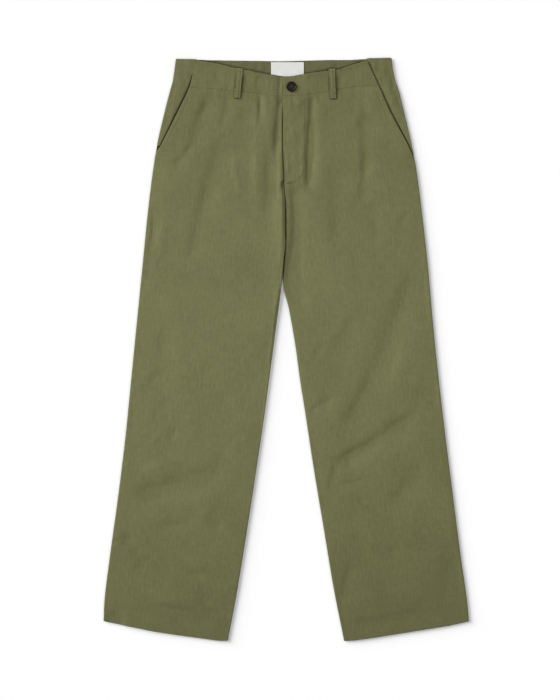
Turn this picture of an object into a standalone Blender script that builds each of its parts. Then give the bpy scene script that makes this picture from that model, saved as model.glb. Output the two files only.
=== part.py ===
"""Work trousers in olive herringbone twill, laid out flat on their back panels.

All sizes are in metres. +Z is up and +Y points to the waist; the trousers lie on z = 0, centred on
the origin. Left and right are the wearer's, so the right leg is at -X. A piece's edges are named as
on a map: west is -X, east is +X, north is the waist and south is the hem.
"""

import math

import bmesh
import bpy
import numpy as np

# Driving dimensions
CLOTH = 0.0012             # wall of a single panel
HEM_WALL = 0.0018          # turned-up hem, two layers pressed together
WAISTBAND_WALL = 0.0018
LABEL_WALL = 0.0010
SEAM_GAP = 0.0003          # between pieces that are sewn or lie together
SPARE = 0.0001             # added to that gap where curved faces follow each other
SEAM_HEIGHT = 0.0026       # side seams and inseams run at half the height of the folded edge
HEM_DEPTH = 0.042
CROTCH_Y = 0.2165
FLY_END_Y = 0.3147
FLY_OVERLAP = 0.006        # the right front runs this far under the free edge of the left one
SHIELD_EAST = 0.0290       # end of the underlap behind the fly, and of the right waistband
POCKET_TUCK = 0.015        # the pocket facing runs this far under the front
LOOP_WIDTH = 0.0150
LOOP_WALL = 0.0018
LOOP_ARCH = 0.0020
LABEL_X = (-0.0288, 0.0335)
LABEL_Y = (0.5105, 0.5435)  # its lower edge is behind the front waistband
BUTTON_CENTRE = (0.0099, 0.4965)
BUTTON_RADIUS = 0.0093

# Faces that lie at one height
EDGE_TIP = SEAM_HEIGHT + SEAM_GAP / 2          # lower end of a front panel's rolled edge
FRONT_ROLL = 0.0026                            # outer radius of that edge
BACK_ROLL = SEAM_HEIGHT - SEAM_GAP / 2         # outer radius of a back panel's edge
LIP = 0.0004                                   # straight strip at the very end of a rolled edge
FACING_TOP = WAISTBAND_WALL + SEAM_GAP + CLOTH + SPARE
FLY_FLOOR = 0.0038                             # upper face of what lies under the fly
FRONT_MIDDLE = 0.0044                          # upper face of a front panel away from its edges
FRONT_RANGE = 0.0016                           # most that folds raise or lower it
FRONT_FLOOR = 2 * CLOTH + SEAM_GAP + SPARE     # its upper face where it lies on the back panel

RIGHT, LEFT = 1, 2                             # columns of the tables below

# Side seams from waist to hem: height, right x, left x
SIDE_SEAMS = (
    (0.5500, -0.2070, 0.1990),
    (0.5207, -0.2140, 0.2036),
    (0.4905, -0.2197, 0.2131),
    (0.4527, -0.2292, 0.2225),
    (0.3960, -0.2424, 0.2358),
    (0.3393, -0.2519, 0.2471),
    (0.2542, -0.2632, 0.2585),
    (0.1692, -0.2708, 0.2679),
    (0.0558, -0.2821, 0.2780),
    (-0.0576, -0.2934, 0.2900),
    (-0.1710, -0.3048, 0.3034),
    (-0.2844, -0.3195, 0.3173),
    (-0.3978, -0.3350, 0.3318),
    (-0.4734, -0.3436, 0.3425),
    (-0.5122, -0.3454, 0.3454),
)

# Centre seam down to the crotch, then the inseams: height, x of the right leg's, x of the left leg's
INNER_SEAMS = (
    (0.5500, -0.0063, -0.0063),
    (0.3850, -0.0063, -0.0063),
    (0.3147, -0.0037, -0.0037),
    (0.2769, -0.0016, -0.0016),
    (0.2372, -0.0005, -0.0005),
    (0.1956, -0.0012, -0.0012),
    (0.1692, -0.0040, -0.0040),
    (0.1427, -0.0063, -0.0061),
    (0.1125, -0.0099, -0.0043),
    (0.0841, -0.0137, 0.0033),
    (0.0558, -0.0175, 0.0090),
    (-0.0009, -0.0250, 0.0184),
    (-0.0576, -0.0326, 0.0260),
    (-0.1143, -0.0402, 0.0350),
    (-0.2277, -0.0567, 0.0524),
    (-0.3411, -0.0742, 0.0713),
    (-0.4545, -0.0925, 0.0902),
    (-0.5490, -0.1101, 0.1091),
)

# Edges across the garment, from west to east: x, y
BACK_WAIST = ((-0.2070, 0.5481), (-0.1781, 0.5462), (-0.1252, 0.5434), (-0.0300, 0.5442),
              (0.0340, 0.5444), (0.1016, 0.5462), (0.1545, 0.5481), (0.1990, 0.5500))
BACK_BAND_SEAM = ((-0.2153, 0.5070), (-0.1000, 0.5055), (-0.0063, 0.5050), (0.1000, 0.5060),
                  (0.2080, 0.5080))
FRONT_WAIST_RIGHT = ((-0.1744, 0.5469), (-0.1252, 0.5396), (-0.0931, 0.5311), (-0.0685, 0.5273),
                     (-0.0345, 0.5207), (-0.0061, 0.5166), (SHIELD_EAST, 0.5166))
FRONT_WAIST_LEFT = ((-0.0063, 0.5162), (0.0080, 0.5162), (0.0336, 0.5207), (0.0789, 0.5273),
                    (0.1016, 0.5302), (0.1318, 0.5396), (0.1570, 0.5435))
BAND_SEAM_RIGHT = ((-0.1838, 0.4961), (-0.1158, 0.4914), (-0.0534, 0.4848), (-0.0213, 0.4795),
                   (-0.0061, 0.4791), (SHIELD_EAST, 0.4791))
BAND_SEAM_LEFT = ((-0.0061, 0.4791), (0.0317, 0.4810), (0.0732, 0.4877), (0.1262, 0.4970),
                  (0.1660, 0.4999))
HEM_RIGHT = ((-0.3454, -0.5122), (-0.2481, -0.5311), (-0.2008, -0.5386), (-0.1252, -0.5500),
             (-0.1101, -0.5490))
HEM_LEFT = ((0.1091, -0.5497), (0.1280, -0.5500), (0.1696, -0.5453), (0.2433, -0.5320),
            (0.3095, -0.5207), (0.3454, -0.5122))

# Pocket edge from the waist down to the side seam: height, right x, left x
POCKET_EDGES = (
    (0.5500, -0.1735, 0.1550),
    (0.5226, -0.1753, 0.1603),
    (0.4961, -0.1838, 0.1672),
    (0.4527, -0.2029, 0.1912),
    (0.3865, -0.2367, 0.2290),
    (0.3827, -0.2383, 0.2312),
)
POCKET_END = (None, 0.3827, 0.3690)            # height where the pocket edge meets the side seam
POCKET_CLOSE = 0.011                           # the front's edge rolls over within this height
POCKET_GAPE = (None, 0.0005, 0.0010)           # how far the pocket edge stands off at its middle

# Inner edge of a front panel from waist to hem: height, right tip, left tip, turn in degrees.
# A tip is the height of the edge itself, and its turn says how far the cloth has rolled there.
FRONT_INNER_EDGE = (
    (0.4800, 0.00490, 0.00700, 0),
    (0.4300, FLY_FLOOR, 0.00545, 0),
    (0.3100, FLY_FLOOR, 0.00545, 0),
    (0.2900, 0.00470, 0.00440, 0),
    (0.2450, 0.00430, 0.00360, 0),
    (CROTCH_Y, 0.00320, 0.00305, 0),
    (0.2040, 0.00335, 0.00335, 40),
    (0.1880, 0.00320, 0.00320, 70),
    (0.1700, EDGE_TIP, EDGE_TIP, 90),
    (-0.5500, EDGE_TIP, EDGE_TIP, 90),
)
# Upper face of the front waistband: x, height
BAND_TOP_RIGHT = ((-0.1840, 0.00565), (-0.1000, 0.00550), (-0.0300, 0.00520), (SHIELD_EAST, 0.00520))
BAND_TOP_LEFT = ((-0.0063, 0.00730), (0.0350, 0.00730), (0.0750, 0.00570), (0.1200, 0.00550),
                 (0.1660, 0.00565))

# Folds of the front panels: leg, start, middle, end, half-width, height (a trough is negative)
FOLDS = (
    (LEFT, (0.2371, 0.1654), (0.1700, -0.0080), (0.0789, -0.1673), 0.012, -0.0015),
    (LEFT, (0.2339, 0.0936), (0.2055, -0.0350), (0.1677, -0.0954), 0.015, 0.0010),
    (LEFT, (0.2560, -0.0500), (0.2500, -0.0900), (0.2380, -0.1170), 0.009, -0.0010),
    (LEFT, (0.2396, -0.1143), (0.1734, -0.1578), (0.0865, -0.2088), 0.009, -0.0017),
    (LEFT, (0.0865, -0.2088), (0.0790, -0.2400), (0.0770, -0.2750), 0.008, -0.0009),
    (LEFT, (0.2244, -0.2240), (0.2070, -0.2560), (0.1866, -0.2880), 0.013, -0.0007),
    (LEFT, (0.1394, 0.4375), (0.1430, 0.3355), (0.1545, 0.2599), 0.009, -0.0011),
    (LEFT, (0.0430, 0.4621), (0.0395, 0.3771), (0.0370, 0.3204), 0.006, -0.0020),
    (LEFT, (0.0540, 0.4338), (0.0540, 0.3015), (0.0620, 0.1690), 0.011, 0.0011),
    (LEFT, (0.0071, 0.2920), (0.0095, 0.2259), (0.0130, 0.1597), 0.009, -0.0012),
    (RIGHT, (-0.1158, 0.4092), (-0.1592, 0.2920), (-0.1857, 0.1843), 0.013, -0.0014),
    (RIGHT, (-0.1857, 0.1843), (-0.2170, 0.1760), (-0.2480, 0.1729), 0.011, -0.0008),
    (RIGHT, (-0.1479, 0.4621), (-0.1781, 0.3922), (-0.2235, 0.3487), 0.009, -0.0008),
    (RIGHT, (-0.0137, 0.4716), (-0.0200, 0.4149), (-0.0250, 0.3770), 0.006, -0.0011),
    (RIGHT, (-0.0364, 0.3619), (-0.0380, 0.3100), (-0.0402, 0.2599), 0.008, -0.0012),
    (RIGHT, (-0.0590, 0.4620), (-0.0591, 0.3676), (-0.0458, 0.2259), 0.011, 0.0010),
    (RIGHT, (-0.2859, -0.2504), (-0.2046, -0.2372), (-0.1403, -0.2240), 0.012, -0.0014),
    (RIGHT, (-0.2575, -0.2788), (-0.1725, -0.2750), (-0.0969, -0.2561), 0.015, 0.0009),
    (RIGHT, (-0.2991, -0.4697), (-0.2200, -0.4880), (-0.1441, -0.5018), 0.010, -0.0006),
)

# Belt loops: piece, x and y of the top end, x and y of the bottom end
BELT_LOOPS = (
    ("belt_loop_right", (-0.0846, 0.5325), (-0.0926, 0.4748)),
    ("belt_loop_left", (0.0882, 0.5315), (0.0878, 0.4734)),
)

# How finely the pieces are divided
ROLL_COLUMNS = 3           # across a rolled edge
FRONT_COLUMNS = 17
FRONT_ROW = 0.026          # longest row of a front panel
BACK_COLUMNS = 3
BACK_ROW = 0.040

COLOURS = {                # linear red, green, blue
    "cloth": (0.190, 0.190, 0.088),
    "cloth_inside": (0.135, 0.132, 0.065),
    "label": (0.800, 0.800, 0.780),
    "button": (0.028, 0.024, 0.014),
}


def clear_scene():
    for thing in list(bpy.data.objects):
        bpy.data.objects.remove(thing)


def collection_named(name):
    made = bpy.data.collections.new(name)
    bpy.context.scene.collection.children.link(made)
    return made


def material_named(name, colour, roughness):
    made = bpy.data.materials.new(name)
    made.use_nodes = True
    shader = made.node_tree.nodes["Principled BSDF"]
    shader.inputs["Base Color"].default_value = (*colour, 1.0)
    shader.inputs["Roughness"].default_value = roughness
    shader.inputs["Metallic"].default_value = 0.0
    return made


def smoothstep(t):
    t = np.clip(t, 0.0, 1.0)
    return t * t * (3.0 - 2.0 * t)


def smooth_curve(rows, column, at):
    """A column of a table as a smooth function of its first column, with no overshoot."""
    order = sorted(rows, key=lambda row: row[0])
    known = np.array([row[0] for row in order])
    value = np.array([row[column] for row in order])
    step = np.diff(known)
    slope = np.diff(value) / step
    tangent = np.concatenate([slope[:1], (slope[1:] + slope[:-1]) / 2, slope[-1:]])
    turning = np.concatenate([[False], slope[1:] * slope[:-1] <= 0, [False]])
    tangent[turning] = 0.0
    at = np.clip(at, known[0], known[-1])
    i = np.clip(np.searchsorted(known, at) - 1, 0, len(step) - 1)
    t = (at - known[i]) / step[i]
    return (
        (2 * t**3 - 3 * t**2 + 1) * value[i]
        + (t**3 - 2 * t**2 + t) * step[i] * tangent[i]
        + (3 * t**2 - 2 * t**3) * value[i + 1]
        + (t**3 - t**2) * step[i] * tangent[i + 1]
    )


def side_x(leg, y):
    return smooth_curve(SIDE_SEAMS, leg, y)


def inner_x(leg, y):
    """The leg's own side of the centre seam and of its inseam."""
    away = -SEAM_GAP / 2 if leg == RIGHT else SEAM_GAP / 2
    return smooth_curve(INNER_SEAMS, leg, y) + away


def line_y(points, x):
    return np.interp(x, [point[0] for point in points], [point[1] for point in points])


def line_part(points, west, east):
    """The part of a line of points between two x values."""
    inside = [point for point in points if west < point[0] < east]
    return ((west, float(line_y(points, west))), *inside, (east, float(line_y(points, east))))


def moved(points, dx=0.0, dy=0.0):
    return tuple((x + dx, y + dy) for x, y in points)


def fold_profile(fold, x, y):
    """Height that one fold adds at plan points: a soft ridge or trough along a bent line."""
    _, start, middle, end, half_width, height = fold
    start, middle, end = np.array(start), np.array(middle), np.array(end)
    control = 2 * middle - (start + end) / 2
    t = np.linspace(0, 1, 25)[:, None]
    path = (1 - t) ** 2 * start + 2 * t * (1 - t) * control + t**2 * end
    dx = x[..., None] - path[:, 0]
    dy = y[..., None] - path[:, 1]
    apart = np.sqrt(dx**2 + dy**2)
    nearest = apart.argmin(axis=-1)
    along = t[nearest, 0]
    fade = smoothstep(along / 0.2) * smoothstep((1 - along) / 0.2)
    return height * fade * np.exp(-((apart.min(axis=-1) / half_width) ** 2))


def folds_of(leg, x, y):
    total = sum(fold_profile(fold, x, y) for fold in FOLDS if fold[0] == leg)
    return FRONT_RANGE * np.tanh(total / FRONT_RANGE)


def roll_radius(turn, roll):
    """Radius of an edge that has turned this far. The same strip of cloth turns at any angle."""
    return (roll - LIP) * (math.pi / 2) / np.maximum(turn, 1e-3)


def roll_drop(turn, roll):
    """How far the tip of a rolled edge lies below the face: roll itself at a quarter turn."""
    return roll_radius(turn, roll) * (1 - np.cos(turn)) + LIP * np.sin(turn)


def facing_roll(leg, y):
    """The facing's edge is flatter near the foot of the pocket, where the front closes over it."""
    near_end = 1 - smoothstep((y - POCKET_END[leg]) / 0.045)
    return FRONT_ROLL - 0.0007 * near_end


def facing_top(leg, x, y):
    """Upper face of the pocket facing, which falls away from its rolled edge."""
    edge = EDGE_TIP + facing_roll(leg, y)
    inward = np.abs(x - side_x(leg, y)) - FRONT_ROLL
    return FACING_TOP + (edge - FACING_TOP) * (1 - smoothstep(inward / 0.026))


def over_facing(leg, x, y):
    """Upper face of cloth that lies on the pocket facing."""
    top = POCKET_EDGES[0][0]
    along = np.clip((top - y) / (top - POCKET_END[leg]), 0, 1)
    gape = POCKET_GAPE[leg] * np.sin(math.pi * along) ** 2
    return facing_top(leg, x, y) + SEAM_GAP + CLOTH + SPARE + gape


def front_outer_x(leg, y):
    """A front panel's outer edge: the pocket edge, and the side seam below it."""
    pocket = smooth_curve(POCKET_EDGES, leg, y)
    below = smoothstep((POCKET_END[leg] - y) / POCKET_CLOSE)
    return pocket + (side_x(leg, y) - pocket) * below


def front_outer_edge(leg, y):
    """(level, turn) of that edge: it lies on the facing, and rolls down to the seam below it."""
    closed = smoothstep((POCKET_END[leg] - y) / POCKET_CLOSE)
    on_facing = over_facing(leg, front_outer_x(leg, y), np.maximum(y, POCKET_END[leg]))
    level = on_facing + (EDGE_TIP + FRONT_ROLL - on_facing) * closed
    return level, closed * math.pi / 2


def front_inner_edge(leg, y):
    tip = smooth_curve(FRONT_INNER_EDGE, leg, y)
    turn = np.radians(smooth_curve(FRONT_INNER_EDGE, 3, y))
    return tip + roll_drop(turn, FRONT_ROLL), turn


def band_top(leg, x):
    table = BAND_TOP_RIGHT if leg == RIGHT else BAND_TOP_LEFT
    return smooth_curve(table, 1, x)


def front_height(leg, x, y, outer_level, inner_level, outer_away, inner_away):
    """Upper face of a front panel, from the levels of its two edges and the way to each."""
    near_outer = np.exp(-((outer_away / 0.024) ** 2))
    near_inner = np.exp(-((inner_away / 0.016) ** 2))
    face = FRONT_MIDDLE + (outer_level - FRONT_MIDDLE) * near_outer
    face = face + (inner_level - FRONT_MIDDLE) * near_inner * (1 - near_outer)
    off_edges = smoothstep(outer_away / 0.012) * smoothstep(inner_away / 0.006)
    face = np.maximum(face + folds_of(leg, x, y) * off_edges, FRONT_FLOOR)
    hem = HEM_RIGHT if leg == RIGHT else HEM_LEFT
    in_hem = 1 - smoothstep((y - line_y(hem, x) - HEM_DEPTH) / 0.010)
    face = face + (np.maximum(face, 0.0047) - face) * in_hem
    on_tuck = (1 - smoothstep((outer_away - POCKET_TUCK - 0.002) / 0.020)) * (y > POCKET_END[leg])
    face = face + (np.maximum(face, over_facing(leg, x, y)) - face) * on_tuck
    if leg == LEFT:
        on_shield = (1 - smoothstep((x - SHIELD_EAST - 0.004) / 0.005)) * smoothstep((y - FLY_END_Y) / 0.006)
        face = face + (np.maximum(face, 0.00545) - face) * on_shield
    seam = BAND_SEAM_RIGHT if leg == RIGHT else BAND_SEAM_LEFT
    to_band = 1 - smoothstep((line_y(seam, x) - y) / 0.045)
    under_band = (WAISTBAND_WALL - CLOTH) / 2
    return face + (band_top(leg, x) - under_band - face) * to_band


def stations(longest, *marks):
    """Rows from 0 to 1, one at each mark, and none further apart than longest."""
    ends = sorted({0.0, 1.0, *marks})
    rows = [0.0]
    for low, high in zip(ends, ends[1:]):
        count = max(1, math.ceil((high - low) / longest))
        rows += [low + (high - low) * (i + 1) / count for i in range(count)]
    return np.array(rows)


class Sheet:
    """A piece of cloth between four edges.

    north and south are points from west to east; west and east give x at a height. west_edge and
    east_edge give (level, turn) at a height, or None for an edge that is simply cut. height gives
    the outer face from x, y, the two edges' levels and the way to each. roll is the radius of a
    rolled edge, and rolls_down says which way it turns.
    """

    def __init__(self, north, south, west, east, height, west_edge=None, east_edge=None,
                 roll=FRONT_ROLL, rolls_down=True):
        self.north, self.south, self.west, self.east = north, south, west, east
        self.height, self.west_edge, self.east_edge = height, west_edge, east_edge
        self.roll, self.rolls_down = roll, rolls_down

    def row_at(self, edge, y):
        """The row that meets the west (0) or east (-1) edge at this height."""
        low, high = self.south[edge][1], self.north[edge][1]
        return (y - low) / (high - low)

    def rolled(self, edge, y):
        """(level, turn, radius, reach) of an edge; reach is the width of the rolled strip."""
        if edge is None:
            return None, np.zeros_like(y), np.ones_like(y), np.zeros_like(y)
        level, turn = edge(y)
        roll = self.roll(y) if callable(self.roll) else self.roll
        radius = roll_radius(turn, roll)
        return level + 0 * y, turn + 0 * y, radius, radius * np.sin(turn) + LIP * np.cos(turn)

    @staticmethod
    def rolled_columns(turn, radius, reach):
        """(way from the tip, drop) of the columns across a rolled edge, from its tip inwards."""
        columns = [(0 * reach, radius * (1 - np.cos(turn)) + LIP * np.sin(turn))]
        for i in range(ROLL_COLUMNS - 1):
            turned = turn * (1 - i / (ROLL_COLUMNS - 1))
            columns.append((reach - radius * np.sin(turned), radius * (1 - np.cos(turned))))
        return columns

    def bow(self, u, v, x):
        """How far the curved waist and hem edges pull a row off the straight."""
        shift = 0.0
        for points, share in ((self.north, v**6), (self.south, (1 - v) ** 6)):
            (west_x, west_y), (east_x, east_y) = points[0], points[-1]
            across = west_x + (east_x - west_x) * u
            shift = shift + share * (line_y(points, across) - west_y - (east_y - west_y) * u)
        return shift

    def points(self, rows, columns):
        """An array of points, row by row from south to north."""
        v = rows[:, None]
        west_y = self.south[0][1] + (self.north[0][1] - self.south[0][1]) * v
        east_y = self.south[-1][1] + (self.north[-1][1] - self.south[-1][1]) * v
        west_x, east_x = self.west(west_y), self.east(east_y)
        length = np.hypot(east_x - west_x, east_y - west_y)
        west_level, west_turn, west_radius, west_reach = self.rolled(self.west_edge, west_y)
        east_level, east_turn, east_radius, east_reach = self.rolled(self.east_edge, east_y)
        # Each column is a way along the row and a drop below the outer face.
        across = []
        if self.west_edge:
            across += self.rolled_columns(west_turn, west_radius, west_reach)
        for share in columns:
            away = west_reach + (length - west_reach - east_reach) * share
            across.append((away, 0 * away))
        if self.east_edge:
            for away, drop in reversed(self.rolled_columns(east_turn, east_radius, east_reach)):
                across.append((length - away, drop))
        away, drop = [np.hstack(part) for part in zip(*across)]
        u = away / length
        x = west_x + (east_x - west_x) * u
        y = west_y + (east_y - west_y) * u
        y = y + self.bow(u, v, x)
        west_away = np.clip(away - west_reach, 0, None)
        east_away = np.clip(length - east_reach - away, 0, None)
        face = self.height(x, y, west_level, east_level, west_away, east_away)
        z = face - drop if self.rolls_down else face + drop
        return np.stack([x, y, z + 0 * x], axis=-1)


def object_from_points(name, points, collection, material):
    """A grid primitive whose points are moved to these places."""
    rows, columns = points.shape[:2]
    shape = bmesh.new()
    bmesh.ops.create_grid(shape, x_segments=columns - 1, y_segments=rows - 1, size=0.5)
    for vert in shape.verts:
        column = round((vert.co.x + 0.5) * (columns - 1))
        row = round((vert.co.y + 0.5) * (rows - 1))
        vert.co = points[row, column]
    mesh = bpy.data.meshes.new(name)
    shape.to_mesh(mesh)
    shape.free()
    mesh.shade_smooth()
    mesh.materials.append(material)
    made = bpy.data.objects.new(name, mesh)
    collection.objects.link(made)
    return made


def thicken(made, wall, towards):
    """Solidify the outer face inwards: towards is -1 below it and +1 above it."""
    solid = made.modifiers.new("wall", "SOLIDIFY")
    solid.thickness = wall
    solid.offset = towards
    solid.use_even_offset = True
    return solid


def thicken_with_hem(made, hem, towards):
    """The same, with the wall of the turned-up hem over its depth."""
    group = made.vertex_groups.new(name="hem")
    for vert in made.data.vertices:
        above = vert.co.y - float(line_y(hem, vert.co.x)) - HEM_DEPTH
        group.add([vert.index], float(1 - smoothstep(above / 0.010)), "REPLACE")
    solid = thicken(made, HEM_WALL, towards)
    solid.vertex_group = group.name
    solid.thickness_vertex_group = CLOTH / HEM_WALL


def front_panel(leg, collection, material):
    hem = HEM_RIGHT if leg == RIGHT else HEM_LEFT

    def inner(y):
        under_fly = smoothstep((y - FLY_END_Y) / 0.008) if leg == RIGHT else 0.0
        return inner_x(leg, y) + FLY_OVERLAP * under_fly

    def outer(y):
        return front_outer_x(leg, y)

    def outer_edge(y):
        return front_outer_edge(leg, y)

    def inner_edge(y):
        return front_inner_edge(leg, y)

    if leg == RIGHT:
        north = line_part(BAND_SEAM_RIGHT, BAND_SEAM_RIGHT[0][0], float(inner(0.4791)))
        sheet = Sheet(
            moved(north, dy=-SEAM_GAP), hem, outer, inner,
            lambda x, y, west, east, west_away, east_away: front_height(
                leg, x, y, west, east, west_away, east_away),
            outer_edge, inner_edge,
        )
        outer_end, inner_end = 0, -1
    else:
        sheet = Sheet(
            moved(BAND_SEAM_LEFT, dy=-SEAM_GAP), hem, inner, outer,
            lambda x, y, west, east, west_away, east_away: front_height(
                leg, x, y, east, west, east_away, west_away),
            inner_edge, outer_edge,
        )
        outer_end, inner_end = -1, 0
    length = sheet.north[0][1] - sheet.south[0][1]
    pocket_marks = [sheet.row_at(outer_end, POCKET_END[leg] - POCKET_CLOSE * share)
                    for share in (0, 0.5, 1)]
    inner_marks = [sheet.row_at(inner_end, y)
                   for y in (FLY_END_Y + 0.008, FLY_END_Y, 0.2900, CROTCH_Y, 0.2040, 0.1880, 0.1700)]
    rows = stations(FRONT_ROW / length, *pocket_marks, *inner_marks)
    # Columns are closer on the side of the centre, where the folds are narrow.
    share = np.linspace(0, 1, FRONT_COLUMNS)
    columns = share + 0.16 * np.sin(math.pi * share) * (1 if leg == RIGHT else -1)
    name = "front_right" if leg == RIGHT else "front_left"
    made = object_from_points(name, sheet.points(rows, columns), collection, material)
    thicken_with_hem(made, hem, towards=-1)


def back_edge(turn_at):
    def edge(y):
        return 0.0, turn_at(y)
    return edge


def whole_turn(y):
    return math.pi / 2 + 0 * y


def inseam_turn(y):
    return np.radians(smooth_curve(FRONT_INNER_EDGE, 3, y))


def flat(x, y, west, east, west_away, east_away):
    return 0 * x


def back_panel(leg, collection, material):
    hem = HEM_RIGHT if leg == RIGHT else HEM_LEFT

    def outer(y):
        return side_x(leg, y)

    def inner(y):
        return inner_x(leg, y)

    seam_y = BACK_BAND_SEAM[0][1] if leg == RIGHT else BACK_BAND_SEAM[-1][1]
    if leg == RIGHT:
        north = line_part(BACK_BAND_SEAM, float(outer(seam_y)), float(inner(seam_y)))
        edges = (outer, inner)
        turns = (back_edge(whole_turn), back_edge(inseam_turn))
    else:
        north = line_part(BACK_BAND_SEAM, float(inner(seam_y)), float(outer(seam_y)))
        edges = (inner, outer)
        turns = (back_edge(inseam_turn), back_edge(whole_turn))
    sheet = Sheet(moved(north, dy=-SEAM_GAP), hem, *edges, flat, *turns,
                  roll=BACK_ROLL, rolls_down=False)
    inner_end = -1 if leg == RIGHT else 0
    marks = [sheet.row_at(inner_end, y) for y in (CROTCH_Y, 0.2040, 0.1880, 0.1700)]
    length = sheet.north[0][1] - sheet.south[0][1]
    rows = stations(BACK_ROW / length, *marks)
    name = "back_right" if leg == RIGHT else "back_left"
    points = sheet.points(rows, np.linspace(0, 1, BACK_COLUMNS))
    made = object_from_points(name, points, collection, material)
    thicken_with_hem(made, hem, towards=1)


def back_waistband(collection, material):
    def west(y):
        return side_x(RIGHT, y)

    def east(y):
        return side_x(LEFT, y)

    sheet = Sheet(BACK_WAIST, BACK_BAND_SEAM, west, east, flat,
                  back_edge(whole_turn), back_edge(whole_turn), roll=BACK_ROLL, rolls_down=False)
    points = sheet.points(np.linspace(0, 1, 5), np.linspace(0, 1, 14))
    made = object_from_points("waistband_back", points, collection, material)
    thicken(made, WAISTBAND_WALL, towards=1)


def side_piece(leg, collection, material):
    """The pocket facing: it rolls over the side, and its inner part lies under the front."""
    inward = 1 if leg == RIGHT else -1
    low = POCKET_END[leg] + 0.002
    high = BACK_WAIST[0][1] if leg == RIGHT else BACK_WAIST[-1][1]

    def outer(y):
        return side_x(leg, y)

    def inner(y):
        return smooth_curve(POCKET_EDGES, leg, y) + inward * POCKET_TUCK

    def outer_edge(y):
        return EDGE_TIP + facing_roll(leg, y), whole_turn(y)

    def height(x, y, west, east, west_away, east_away):
        return facing_top(leg, x, y)

    corners = [(float(outer(y)), float(inner(y))) for y in (high, low)]
    north, south = [
        tuple(sorted(((out, y), (inn, y)))) for (out, inn), y in zip(corners, (high, low))
    ]
    if leg == RIGHT:
        sheet = Sheet(north, south, outer, inner, height, outer_edge, None,
                      roll=lambda y: facing_roll(leg, y))
    else:
        sheet = Sheet(north, south, inner, outer, height, None, outer_edge,
                      roll=lambda y: facing_roll(leg, y))
    name = "side_right" if leg == RIGHT else "side_left"
    points = sheet.points(np.linspace(0, 1, 10), np.linspace(0, 1, 6))
    made = object_from_points(name, points, collection, material)
    thicken(made, CLOTH, towards=-1)


def front_waistband(leg, collection, material):
    north, south = ((FRONT_WAIST_RIGHT, BAND_SEAM_RIGHT) if leg == RIGHT
                    else (FRONT_WAIST_LEFT, BAND_SEAM_LEFT))

    def end_x(end):
        (south_x, south_y), (north_x, north_y) = south[end], north[end]
        return lambda y: south_x + (north_x - south_x) * (y - south_y) / (north_y - south_y)

    def height(x, y, west, east, west_away, east_away):
        return band_top(leg, x)

    sheet = Sheet(north, south, end_x(0), end_x(-1), height)
    name = "waistband_front_right" if leg == RIGHT else "waistband_front_left"
    points = sheet.points(np.linspace(0, 1, 5), np.linspace(0, 1, 14))
    made = object_from_points(name, points, collection, material)
    thicken(made, WAISTBAND_WALL, towards=-1)


def fly_shield(collection, material):
    """Underlap behind the fly, sewn to the right front's edge and the right waistband."""
    west_x = float(inner_x(RIGHT, 0.4791)) + FLY_OVERLAP + SEAM_GAP
    north = ((west_x, 0.4791 - SEAM_GAP), (SHIELD_EAST, 0.4791 - SEAM_GAP))
    low = FLY_END_Y + 0.012
    south = ((float(inner_x(RIGHT, low)) + FLY_OVERLAP + SEAM_GAP, low), (SHIELD_EAST - 0.010, low))

    def west(y):
        return inner_x(RIGHT, y) + FLY_OVERLAP + SEAM_GAP

    def east(y):
        rounded = 1 - smoothstep((y - low) / 0.020)
        return SHIELD_EAST - 0.010 * rounded

    def height(x, y, west_level, east_level, west_away, east_away):
        return front_inner_edge(RIGHT, y)[0]

    sheet = Sheet(north, south, west, east, height)
    points = sheet.points(np.linspace(0, 1, 12), np.linspace(0, 1, 3))
    made = object_from_points("fly_shield", points, collection, material)
    thicken(made, CLOTH, towards=-1)


def belt_loop(name, top, bottom, collection, material):
    """A strip that is sewn flat at both ends and arches over the waistband between them."""
    leg = RIGHT if top[0] < 0 else LEFT
    top, bottom = np.array(top), np.array(bottom)
    share = np.array([0, 0.08, 0.16, 0.25, 0.37, 0.50, 0.63, 0.75, 0.84, 0.92, 1.0])[:, None]
    centre = bottom + (top - bottom) * share
    along = (top - bottom) / np.linalg.norm(top - bottom)
    across = np.array([along[1], -along[0]])
    side = np.linspace(-LOOP_WIDTH / 2, LOOP_WIDTH / 2, 4)
    x = centre[:, :1] + across[0] * side
    y = centre[:, 1:] + across[1] * side
    rise = LOOP_ARCH * smoothstep((share - 0.10) / 0.22) * smoothstep((0.90 - share) / 0.22)
    under = float(band_top(leg, np.array([centre[:, 0].mean()]))[0])
    z = under + SEAM_GAP + SPARE + rise + LOOP_WALL + 0 * x
    made = object_from_points(name, np.stack([x, y, z], axis=-1), collection, material)
    thicken(made, LOOP_WALL, towards=-1)


def label(collection, material):
    x, y = np.meshgrid(np.array(LABEL_X), np.array(LABEL_Y))
    z = WAISTBAND_WALL + SEAM_GAP + LABEL_WALL + 0 * x
    made = object_from_points("label", np.stack([x, y, z], axis=-1), collection, material)
    thicken(made, LABEL_WALL, towards=-1)


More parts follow.
